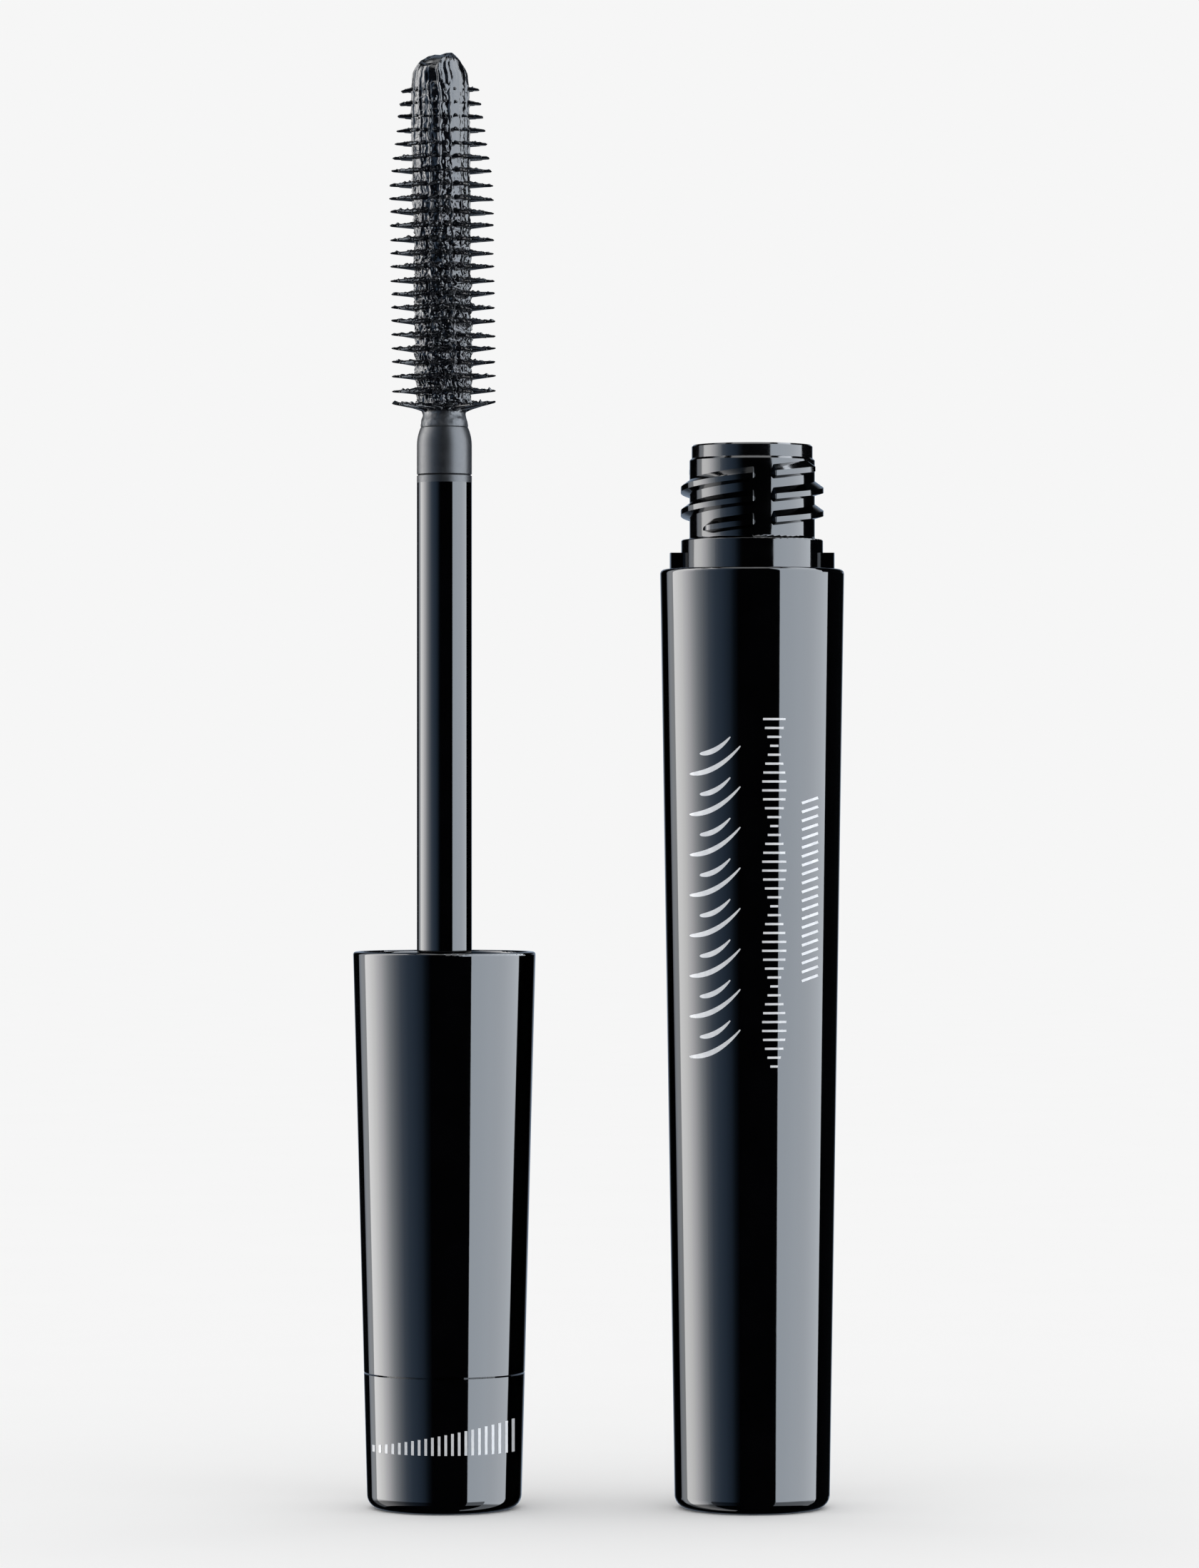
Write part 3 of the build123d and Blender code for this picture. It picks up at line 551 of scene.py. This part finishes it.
FOLD_X = ((130.6, -0.27), (131.1, -0.2), (131.7, 0.17), (132.3, 0.95))     # height, and x off the axis
PLEATS = ((0.042, 0.009, 0.07), (0.072, 0.011, 0.05), (0.118, 0.008, 0.03))     # turn, width, depth


def bell(x, wide):
    return np.exp(-((x / wide) ** 2))


def above(x, start, end):
    """0 below start, 1 above end, and a smooth rise between them."""
    return smooth_step(np.clip((x - start) / (end - start), 0, 1))


def from_nearest_root(turn, z, radius):
    """Height from the nearest bristle row, and distance from the nearest bristle root."""
    row = np.clip(np.round((z - FIRST_ROW_Z) / ROW_PITCH), 0, ROW_COUNT - 1)
    off_row = z - (FIRST_ROW_Z + ROW_PITCH * row)
    off_column = ((turn / COLUMN_TURN) % 1.0 - 0.5) * COLUMN_TURN * 2 * math.pi * radius
    return off_row, np.hypot(off_row, off_column)


def column_of(turn, share, upper):
    """The bristle column at this turn, as a number that wanders a little along the brush."""
    wander = (0.18 - 0.05 * upper) * ring_noise(turn, share, 16, 30, 21)
    wander += (0.12 - 0.03 * upper) * ring_noise(turn, share, 32, 84, 22)
    return turn / COLUMN_TURN + wander


def rough_coat(turn, share, z, radius, ridge, streak, upper):
    """The coat among the bristles: pleats between their columns, collars and curls round roots."""
    edge = 0.006 * ring_noise(turn, share, 12, 60, 37)
    band = above(turn + edge, 0.056, 0.068) * (1 - above(turn + edge, 0.128, 0.155)) * above(z, *BAND)
    furrow = bell((column_of(turn, share, upper) + 0.22) % 1.0 - 0.5, 0.09)
    pleat = ridge + furrow * (0.02 + 0.05 * ring_noise(turn, share, 16, 40, 33))
    bent = turn + 0.016 * ring_noise(turn, share, 22, 60, 25)
    swirl = ring_noise(bent, share, 40, 84, 26)
    crease = (1 - np.abs(swirl) * 2.2) * (0.14 - 0.10 * upper)
    lump = (0.09 - 0.045 * upper) * ring_noise(turn, share, 18, 34, 27)
    off_row, off_root = from_nearest_root(turn, z, radius)
    uneven = 1 + 0.5 * ring_noise(turn, share, 26, 50, 34)
    collar = bell(off_row, 0.2) * (0.17 - 0.17 * upper) * uneven
    root = bell(off_root, 0.25) * (0.2 - 0.12 * upper) * uneven
    curl = bell(off_root - 0.38, 0.08) * (0.07 - 0.03 * upper) * (uneven - 0.5)
    fine = (0.02 - 0.015 * upper) * ring_noise(turn, share, 120, 200, 28)
    return (pleat + streak + crease + lump + collar + root + curl + fine) * (1 - 0.8 * band)


def tip_smear(turn, share, z, ridge, streak):
    """The smear folded over the tip: a smooth curtain right of the fold, a channel left of it."""
    fold_turn = np.interp(z, *np.array(FOLD).T)
    from_fold = (turn + 0.5) % 1.0 - 0.5 - fold_turn
    curtain = above(from_fold, -0.004, 0.008) * (1 - above(from_fold, 0.15, 0.26))
    channel = np.clip((from_fold + 0.080) / 0.072, 0, 1) * (1 - above(from_fold, -0.010, 0.004))
    drape = sum(depth * bell(from_fold - place, wide) for place, wide, depth in PLEATS)
    leaf = bell(from_fold + 0.082, 0.014) * above(z, 128.2, 129.2) * (1 - above(z, 130.2, 130.9))
    shoulder = 0.2 * bell(z - 131.45, 0.45)
    lip = 0.07 * bell(from_fold - 0.008, 0.011)
    smear = (0.12 + shoulder) * curtain + lip - 0.22 * channel - drape * curtain + 0.09 * leaf
    outside = (0.6 * ridge + 0.4 * streak) * (1 - curtain) * (1 - 0.8 * above(channel, 0, 0.3))
    return smear + (outside + 0.02 * ring_noise(turn, share, 60, 26, 36))


def paste_height(turn, share, z, radius):
    """How far the coat stands off its base shape, calmer towards the upper end."""
    upper = above(z, *CALM)
    on_brush = above(z, *BRUSH_START)
    tip = above(z, *SMEAR)
    strength = 0.85 + (0.5 - 0.3 * upper) * ring_noise(turn, share, 16, 14, 23)
    between = (column_of(turn, share, upper) + 0.5) % 1.0 - 0.5
    ridge = bell(between, 0.11) * strength * (0.09 + 0.10 * upper)
    streak = (0.04 - 0.025 * upper) * ring_noise(turn, share, 80, 22, 24)
    coat = rough_coat(turn, share, z, radius, ridge, streak, upper) * (1 - tip)
    coat += tip_smear(turn, share, z, ridge, streak) * tip
    smooth_neck = 0.035 * ring_noise(turn, share, 24, 110, 29) + 0.03 * ring_noise(turn, share, 9, 70, 30)
    return (coat * on_brush + smooth_neck * (1 - on_brush)) * np.clip(radius / ROOT_R, 0, 1) ** 1.5


def paste_core():
    """The coat on the core, one skin from the ferrule to the tip."""
    radii, heights = np.array(PASTE_PROFILE).T
    run = np.concatenate(([0], np.cumsum(np.hypot(np.diff(radii), np.diff(heights)))))
    along = np.linspace(0, run[-1], PASTE_ALONG)
    base_r, base_z = np.interp(along, run, radii), np.interp(along, run, heights)
    for _ in range(PASTE_ROUNDS):
        base_r[1:-1] = (base_r[:-2] + base_r[1:-1] + base_r[2:]) / 3
        base_z[1:-1] = (base_z[:-2] + base_z[1:-1] + base_z[2:]) / 3
    out_r, out_z = np.gradient(base_z, along), -np.gradient(base_r, along)
    size = np.hypot(out_r, out_z)
    turns = np.arange(PASTE_AROUND) / PASTE_AROUND
    turn, share = np.meshgrid(turns, along / run[-1])
    height = paste_height(turn, share, base_z[:, None], base_r[:, None])
    radius = base_r[:, None] + height * (out_r / size)[:, None]
    level = base_z[:, None] + height * (out_z / size)[:, None]
    points = around_wand(turn, np.maximum(radius, 0.02), level)
    from_peak = np.hypot(points[..., 0] - WAND_X - PEAK[0], points[..., 1] - PEAK[1])
    points[..., 2] += PEAK_HEIGHT * bell(from_peak, PEAK_WIDTH) * above(level, 131.2, 131.8)
    points[..., 2] = np.minimum(points[..., 2], BRUSH_TIP_Z)
    points = facet_cut(points, turn)
    low = around_wand([0.0], 0.0, PASTE_PROFILE[0][1])
    top = points[-1].mean(0)[None, :]
    points = np.concatenate((points.reshape(-1, 3), low, top))
    last = (PASTE_ALONG - 1) * PASTE_AROUND
    faces = grid_faces(PASTE_ALONG, PASTE_AROUND, True)
    faces += end_fans(0, last, PASTE_AROUND, len(points) - 2, len(points) - 1)
    return points, faces


def facet_cut(points, turn):
    """Flattens the tip's smear on one side, where it was wiped off against the bottle's mouth."""
    normal = np.array(FACET_NORMAL) / np.linalg.norm(FACET_NORMAL)
    place = np.array(FACET_POINT) + (WAND_X, 0, 0)
    over = np.clip((points - place) @ normal, 0, None)
    x, z = points[..., 0] - WAND_X, points[..., 2]
    fold_x = np.interp(z, *np.array(FOLD_X).T)
    front = np.cos(2 * math.pi * turn) > 0
    kept = np.where(front, above(x - fold_x, -0.05, 0.12), above(x, 0.6, 1.2))
    wavy = 1 - 0.06 * np.sin(x * 7 + z * 9)
    return points - (over * (1 - kept) * FACET_DEPTH * wavy)[..., None] * normal


CLOTS = 9                       # on each bristle
COAT_ALONG = 26


def coat_lumps(place, angle):
    """Clots of paste: mostly on a bristle's upper side, in different places on each."""
    chance = np.random.default_rng(31)
    count = len(TURNS)
    total = np.zeros((count, len(place), len(angle)))
    calm = np.clip((ROOTS - 118) / 8, 0, 1)[:, None, None]
    for _ in range(CLOTS):
        centre = chance.uniform(0.12, 0.98, (count, 1, 1))
        tall = chance.uniform(0.0, 0.12, (count, 1, 1)) * (1 - 0.5 * calm)
        wide = chance.uniform(0.022, 0.065, (count, 1, 1))
        turned = chance.normal(0, 0.5, (count, 1, 1))
        side = np.clip(np.sin(angle[None, None, :] + turned), 0, 1) ** 0.6
        total += tall * bell(place[None, :, None] - centre, wide) * side
    lower_rows = np.clip((106 - ROOTS) / 6, 0, 1)[:, None, None]
    heavy = chance.uniform(0.6, 1.3, (count, 1, 1)) + lower_rows * chance.uniform(-0.3, 1.6, (count, 1, 1))
    root = np.exp(-place / 0.17)[None, :, None] * heavy * 0.11 * (1 - calm)
    thinner = 0.035 * calm * (1 - place)[None, :, None]
    return total * (1 - 0.5 * place[None, :, None] ** 6) + root - thinner


def brush_paste():
    """The wet coat on the core, parted between bristle rows, and the coats on the bristles."""
    points, faces = paste_core()
    points, faces = leaned(points), np.array([f if len(f) == 4 else (*f, -1) for f in faces])
    first_corner_z = points[faces[:, 0], 2]
    cuts = [FIRST_ROW_Z + ROW_PITCH * (ROW_COUNT * k // CORE_PIECES - 0.5) for k in range(1, CORE_PIECES)]
    band = np.searchsorted(cuts, first_corner_z)
    made = []
    for number in range(CORE_PIECES):
        mine = faces[band == number]
        used, corners = np.unique(mine, return_inverse=True)
        corners = corners.reshape(-1, 4)
        if used[0] == -1:
            corners, used = corners - 1, used[1:]
        quads = [tuple(c for c in face if c >= 0) for face in corners.tolist()]
        made.append(mesh_object(f"core_paste_{number + 1}", points[used], quads))
    coat_points, coat_faces = spines(
        ROOT_R + 0.1, 0.985, COAT_ALONG, BRISTLE_AROUND, tapered(0.085, 0.19), coat_lumps
    )
    made.append(mesh_object("bristle_paste", leaned(coat_points), coat_faces))
    for piece in made:
        piece.data.materials.append(BRISTLE_WET if piece.name == "bristle_paste" else CORE_WET)
    return made


for piece in (brush_bristles, *brush_paste()):
    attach(piece, "applicator")
    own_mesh(piece)
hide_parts("brush_sleeve")


# ---------------------------------------------------------------- foil marks

MARK_PROUD = 0.02
MARK_SUNK = 0.03
RAY_START_Y = -50.0             # in front of both pieces
LASHES = 16
LASH_START = (-5.75, 41.2)      # x and z of the lowest one
LASH_PITCH = 1.82
LASH_POINTS = 26
WAVE_DASHES = 40
WAVE_START = (1.8, 40.4)
SLANT_DASHES = 21
SLANT_START = (5.05, 48.3)
DASH_PITCH = 0.8
DASH_POINTS = 9
TICKS = 22
TICK_START = (-6.3, 5.4)
TICK_PITCH = 0.6
TICK_POINTS = 5
TICK_WIDTH = 0.24


def skin_of(node_name):
    """The surface of a CAD node, to find points on it."""
    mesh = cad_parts[node_name].data
    return BVHTree.FromPolygons([v.co for v in mesh.vertices], [tuple(p.vertices) for p in mesh.polygons])


def stroke(skin, axis_x, line, widths, across=4):
    """A raised strip that follows a line of (x, z) on the front of a round piece."""
    line, widths = np.array(line, float), np.array(widths, float)
    ahead = np.gradient(line, axis=0)
    ahead /= np.linalg.norm(ahead, axis=1)[:, None]
    aside = np.stack((ahead[:, 1], -ahead[:, 0]), 1)
    shares = np.linspace(-0.5, 0.5, across + 1)
    offsets = [(shares[0], -MARK_SUNK)] + [(s, MARK_PROUD) for s in shares] + [(shares[-1], -MARK_SUNK)]
    points = []
    for place, side, width in zip(line, aside, widths):
        for share, lift in offsets:
            x, z = place + side * share * width
            start = Vector(((axis_x + x) * MM, RAY_START_Y * MM, z * MM))
            hit, normal, _, _ = skin.ray_cast(start, Vector((0, 1, 0)))
            points.append(np.array(hit + normal * lift * MM) / MM)
    columns = len(offsets)
    faces = grid_faces(len(line), columns, True)
    faces.append(tuple(range(columns))[::-1])
    faces.append(tuple((len(line) - 1) * columns + c for c in range(columns)))
    return points, faces


def joined_marks(name, strokes):
    """One piece made of many strokes."""
    points, faces = [], []
    for stroke_points, stroke_faces in strokes:
        shift = len(points)
        points += stroke_points
        faces += [tuple(c + shift for c in face) for face in stroke_faces]
    piece = mesh_object(name, points, faces, smooth=False)
    piece.data.materials.append(FOIL)
    return piece


def lash(x0, z0, length, rise, width):
    """A curved line from (x0, z0), rising to the right like a lash, and its tapered widths."""
    t = np.linspace(0, 1, LASH_POINTS)
    line = np.stack((x0 + length * t, z0 + rise * t ** 2.1), 1)
    return line, 0.10 + width * np.sin(math.pi * t ** 0.7) ** 0.8


def dash(x, z, wide, thick, rise=0.0):
    """A short line across the piece, centred at (x, z), and its even widths."""
    t = np.linspace(-0.5, 0.5, DASH_POINTS)
    return np.stack((x + wide * t, z + rise * t), 1), np.full_like(t, thick)


def tick(x, z, tall):
    """An upright line from (x, z), and its even widths."""
    t = np.linspace(0, 1, TICK_POINTS)
    return np.stack((np.full_like(t, x), z + tall * t), 1), np.full_like(t, TICK_WIDTH)


def bottle_marks():
    """A column of lash-like lines, one of dashes that swell like a wave, one of slanted dashes."""
    skin = skin_of("bottle_shell")
    strokes = []
    for number in range(LASHES):
        short = number % 2
        x, z = LASH_START[0] + 0.9 * short, LASH_START[1] + LASH_PITCH * number
        strokes.append(stroke(skin, BOTTLE_X, *lash(x, z, 4.5 - 1.8 * short, 2.5 - short, 0.36)))
    for number in range(WAVE_DASHES):
        x, z = WAVE_START[0], WAVE_START[1] + DASH_PITCH * number
        wide = 0.7 + 1.5 * abs(math.sin(number * 0.35))
        strokes.append(stroke(skin, BOTTLE_X, *dash(x, z, wide, 0.2), across=1))
    for number in range(SLANT_DASHES):
        x, z = SLANT_START[0], SLANT_START[1] + DASH_PITCH * number
        strokes.append(stroke(skin, BOTTLE_X, *dash(x, z, 1.5, 0.24, 0.5), across=1))
    return joined_marks("bottle_marks", strokes)


def knob_marks():
    """A row of upright ticks that grow to the right."""
    skin = skin_of("twist_knob")
    strokes = []
    for number in range(TICKS):
        x, z = TICK_START[0] + TICK_PITCH * number, TICK_START[1]
        strokes.append(stroke(skin, WAND_X, *tick(x, z, 0.6 + 2.4 * number / (TICKS - 1)), across=1))
    return joined_marks("knob_marks", strokes)


marks_on_bottle = bottle_marks()
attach(marks_on_bottle, "bottle")
marks_on_knob = knob_marks()
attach(marks_on_knob, "knob")


# ---------------------------------------------------------------- floor and light

FLOOR_HALF = 6000.0
FLOOR_Z = -0.03                 # just below the bases
PALE = (0.922, 0.922, 0.922)
floor_corners = np.array([(-1, -1, 0), (1, -1, 0), (1, 1, 0), (-1, 1, 0)]) * FLOOR_HALF
floor = mesh_object("floor", floor_corners + (0, 0, FLOOR_Z), [(0, 1, 2, 3)])
floor_paint = bpy.data.materials.new("pale_floor")
floor_tree, floor_shader = nodes_of(floor_paint)
floor_shader.inputs["Roughness"].default_value = 0.9
floor_shader.inputs["Specular IOR Level"].default_value = 0.0
floor_tree.links.new(
    mixed_colour(floor_tree, linked_noise(floor_tree, 0.02), (0.920, 0.920, 0.920), (0.924, 0.924, 0.924)),
    floor_shader.inputs["Base Color"],
)
floor.data.materials.append(floor_paint)
floor.visible_glossy = False


def pale_world():
    """Pale to the camera, an even light for matt surfaces, nearly dark to reflections."""
    world = bpy.data.worlds.new("studio")
    world.use_nodes = True
    world.cycles.sampling_method = "NONE"
    tree = world.node_tree
    tree.nodes.clear()
    output = tree.nodes.new("ShaderNodeOutputWorld")
    rays = tree.nodes.new("ShaderNodeLightPath")
    dim = tree.nodes.new("ShaderNodeBackground")
    dim.inputs["Color"].default_value = (0.7, 0.85, 1.0, 1)
    dim.inputs["Strength"].default_value = 0.006
    even = tree.nodes.new("ShaderNodeBackground")
    even.inputs["Color"].default_value = (1, 1, 1, 1)
    even.inputs["Strength"].default_value = 1.0
    seen = tree.nodes.new("ShaderNodeBackground")
    seen.inputs["Color"].default_value = (*PALE, 1)
    by_gloss = tree.nodes.new("ShaderNodeMixShader")
    by_camera = tree.nodes.new("ShaderNodeMixShader")
    tree.links.new(rays.outputs["Is Glossy Ray"], by_gloss.inputs[0])
    tree.links.new(even.outputs[0], by_gloss.inputs[1])
    tree.links.new(dim.outputs[0], by_gloss.inputs[2])
    tree.links.new(rays.outputs["Is Camera Ray"], by_camera.inputs[0])
    tree.links.new(by_gloss.outputs[0], by_camera.inputs[1])
    tree.links.new(seen.outputs[0], by_camera.inputs[2])
    tree.links.new(by_camera.outputs[0], output.inputs[0])
    scene.world = world


pale_world()


def glow_material():
    material = bpy.data.materials.new("glow")
    material.use_nodes = True
    tree = material.node_tree
    tree.nodes.clear()
    glow = tree.nodes.new("ShaderNodeAttribute")
    glow.attribute_name = "glow"
    light = tree.nodes.new("ShaderNodeEmission")
    output = tree.nodes.new("ShaderNodeOutputMaterial")
    tree.links.new(glow.outputs["Color"], light.inputs["Color"])
    tree.links.new(light.outputs[0], output.inputs[0])
    return material


GLOW = glow_material()


def light_surface(name, points, faces, colours):
    """A studio light that only shows in reflections, with a colour at each point."""
    surface = mesh_object(name, points, faces)
    values = np.concatenate((colours, np.ones((len(colours), 1))), 1).astype(np.float32)
    attribute = surface.data.attributes.new("glow", "FLOAT_COLOR", "POINT")
    attribute.data.foreach_set("color", values.ravel())
    surface.data.materials.append(GLOW)
    surface.visible_camera = False
    surface.visible_diffuse = False
    surface.visible_shadow = False
    return surface


# Degrees round the object from the front, with the light's strength and its colour there.
LEFT_GLOW = (
    (18, 0.0, (0.5, 0.8, 1.2)),
    (24, 0.12, (0.5, 0.8, 1.2)),
    (30, 0.32, (0.6, 0.95, 1.5)),
    (38, 0.50, (0.65, 1.0, 1.55)),
    (48, 0.72, (0.70, 1.0, 1.45)),
    (57, 1.15, (0.80, 1.0, 1.30)),
    (65, 2.10, (0.90, 1.0, 1.15)),
    (74, 3.60, (0.94, 1.0, 1.08)),
    (80, 5.00, (0.97, 1.0, 1.05)),
    (86, 6.40, (1.0, 1.0, 1.04)),
    (92, 7.40, (1.0, 1.0, 1.03)),
    (99, 8.30, (1.0, 1.0, 1.0)),
    (107, 8.10, (1.0, 1.0, 1.0)),
    (115, 7.20, (1.0, 1.0, 1.0)),
    (117, 6.80, (1.0, 1.0, 1.0)),
    (118, 2.30, (0.97, 1.0, 1.04)),
    (126, 1.90, (0.95, 1.0, 1.06)),
    (133, 1.10, (0.92, 1.0, 1.12)),
    (135, 0.0, (0.9, 1.0, 1.2)),
)
RIGHT_GLOW = (
    (33.2, 0.0, (0.92, 1.0, 1.10)),
    (33.8, 7.3, (0.90, 1.0, 1.12)),
    (60, 7.5, (0.91, 1.0, 1.11)),
    (90, 7.0, (0.93, 1.0, 1.09)),
    (107.6, 6.2, (0.93, 1.0, 1.08)),
    (108.2, 0.0, (0.93, 1.0, 1.08)),
)
# The weak light behind the object, on each side.
BACK_GLOW = (
    (160, 0.0, (1, 1, 1)),
    (166, 0.35, (0.8, 1, 1.3)),
    (180, 0.4, (0.8, 1, 1.3)),
)
WALL_R = 600.0
WALL_COLUMNS = 90
# Height and share of full strength: dimmer below, where the rounded bases would mirror them.
WALL_LEVELS = ((-450.0, 0.25), (-170.0, 0.25), (-115.0, 1.0), (1300.0, 1.0))


def glow_at(stops, degrees):
    """The light's colour at these angles, between the nearest stops."""
    places = [stop[0] for stop in stops]
    strength = np.interp(degrees, places, [stop[1] for stop in stops], left=0, right=0)
    tint = [np.interp(degrees, places, [stop[2][k] for stop in stops]) for k in range(3)]
    return np.stack([strength * channel for channel in tint], -1)


def standing_light(name, x, y, colours, levels):
    """An upright light along the line x, y, whose strength changes from level to level."""
    points = [np.stack((x, y, np.full_like(y, height)), 1) for height, _ in levels]
    glow = [colours * share for _, share in levels]
    faces = grid_faces(len(levels), len(y), False)
    return light_surface(name, np.concatenate(points), faces, np.concatenate(glow))


def light_wall(name, stops, side):
    """A curved softbox round the object; side is -1 for the left and 1 for the right."""
    degrees = np.unique(np.concatenate((
        np.linspace(stops[0][0], stops[-1][0], WALL_COLUMNS), [stop[0] for stop in stops]
    )))
    angle = np.radians(degrees) * side
    x, y = WALL_R * np.sin(angle), -WALL_R * np.cos(angle)
    return standing_light(name, x, y, glow_at(stops, degrees), WALL_LEVELS)


light_wall("wall_left", LEFT_GLOW, -1)
light_wall("wall_right", RIGHT_GLOW, 1)
light_wall("wall_back", BACK_GLOW, 1)
light_wall("wall_back_left", BACK_GLOW, -1)


# Between the two halves stand thin cards, which hide each from the other's reflections
# and carry the light that the walls would have given there.
CARD_X = WAND_X / 2
CARD_GAP = 0.1
CARD_HALF = 10.5
CARD_COLUMNS = 121
CARD_DIM = 0.25                 # the cards' share of full strength below CARD_FADE_Z
CARD_FADE_Z = -4.0
CARD_FADE = 2.0
CARD_BASE_Z = -60.0
CARD_TOP_Z = BOTTLE_TOP_Z + 2
CAP_CARD_TOP_Z = CAP_TOP_Z - 0.3


def light_card(name, side, other_x, radius, low, high, stops):
    """A card beside a round piece at other_x, lit as the wall behind it is in its reflections."""
    x = CARD_X - side * CARD_GAP
    y = np.linspace(-CARD_HALF, CARD_HALF, CARD_COLUMNS)
    away = abs(other_x - x)
    half_turn = np.radians(np.linspace(1, 89, 400))
    hit = -radius * np.cos(half_turn) - (away - radius * np.sin(half_turn)) / np.tan(2 * half_turn)
    degrees = np.interp(y, hit, np.degrees(2 * half_turn))
    levels = [(low, 1.0), (high, 1.0)]
    if low < 0:
        levels = [(low, CARD_DIM), (CARD_FADE_Z - CARD_FADE, CARD_DIM), (CARD_FADE_Z, 1.0), (high, 1.0)]
    return standing_light(name, np.full_like(y, x), y, glow_at(stops, degrees), levels)


light_card("card_bottle", -1, BOTTLE_X, 7.8, CARD_BASE_Z, CARD_TOP_Z, LEFT_GLOW)
light_card("card_cap", 1, WAND_X, 7.6, CARD_BASE_Z, CAP_CARD_TOP_Z, RIGHT_GLOW)
light_card("card_stem", 1, WAND_X, 2.5, CAP_CARD_TOP_Z, CARD_TOP_Z, RIGHT_GLOW)


DISC_CORNERS = 48


def disc_light(name, centre, radius, tilt, colour):
    """A round softbox that only shows in reflections."""
    turns = np.arange(DISC_CORNERS) / DISC_CORNERS * 2 * math.pi
    flat = np.stack((radius * np.cos(turns), radius * np.sin(turns), np.zeros(DISC_CORNERS)), 1)
    flat = flat @ np.array(Matrix.Rotation(math.radians(tilt), 3, "X")).T + centre
    return light_surface(name, flat, [tuple(range(DISC_CORNERS))], np.tile(colour, (DISC_CORNERS, 1)))


disc_light("overhead", (-14.0, -60.0, 760.0), 260.0, 0, (2.6, 2.65, 2.7))
disc_light("overhead_right", (520.0, 330.0, 900.0), 330.0, 40, (6.2, 6.6, 7.2))
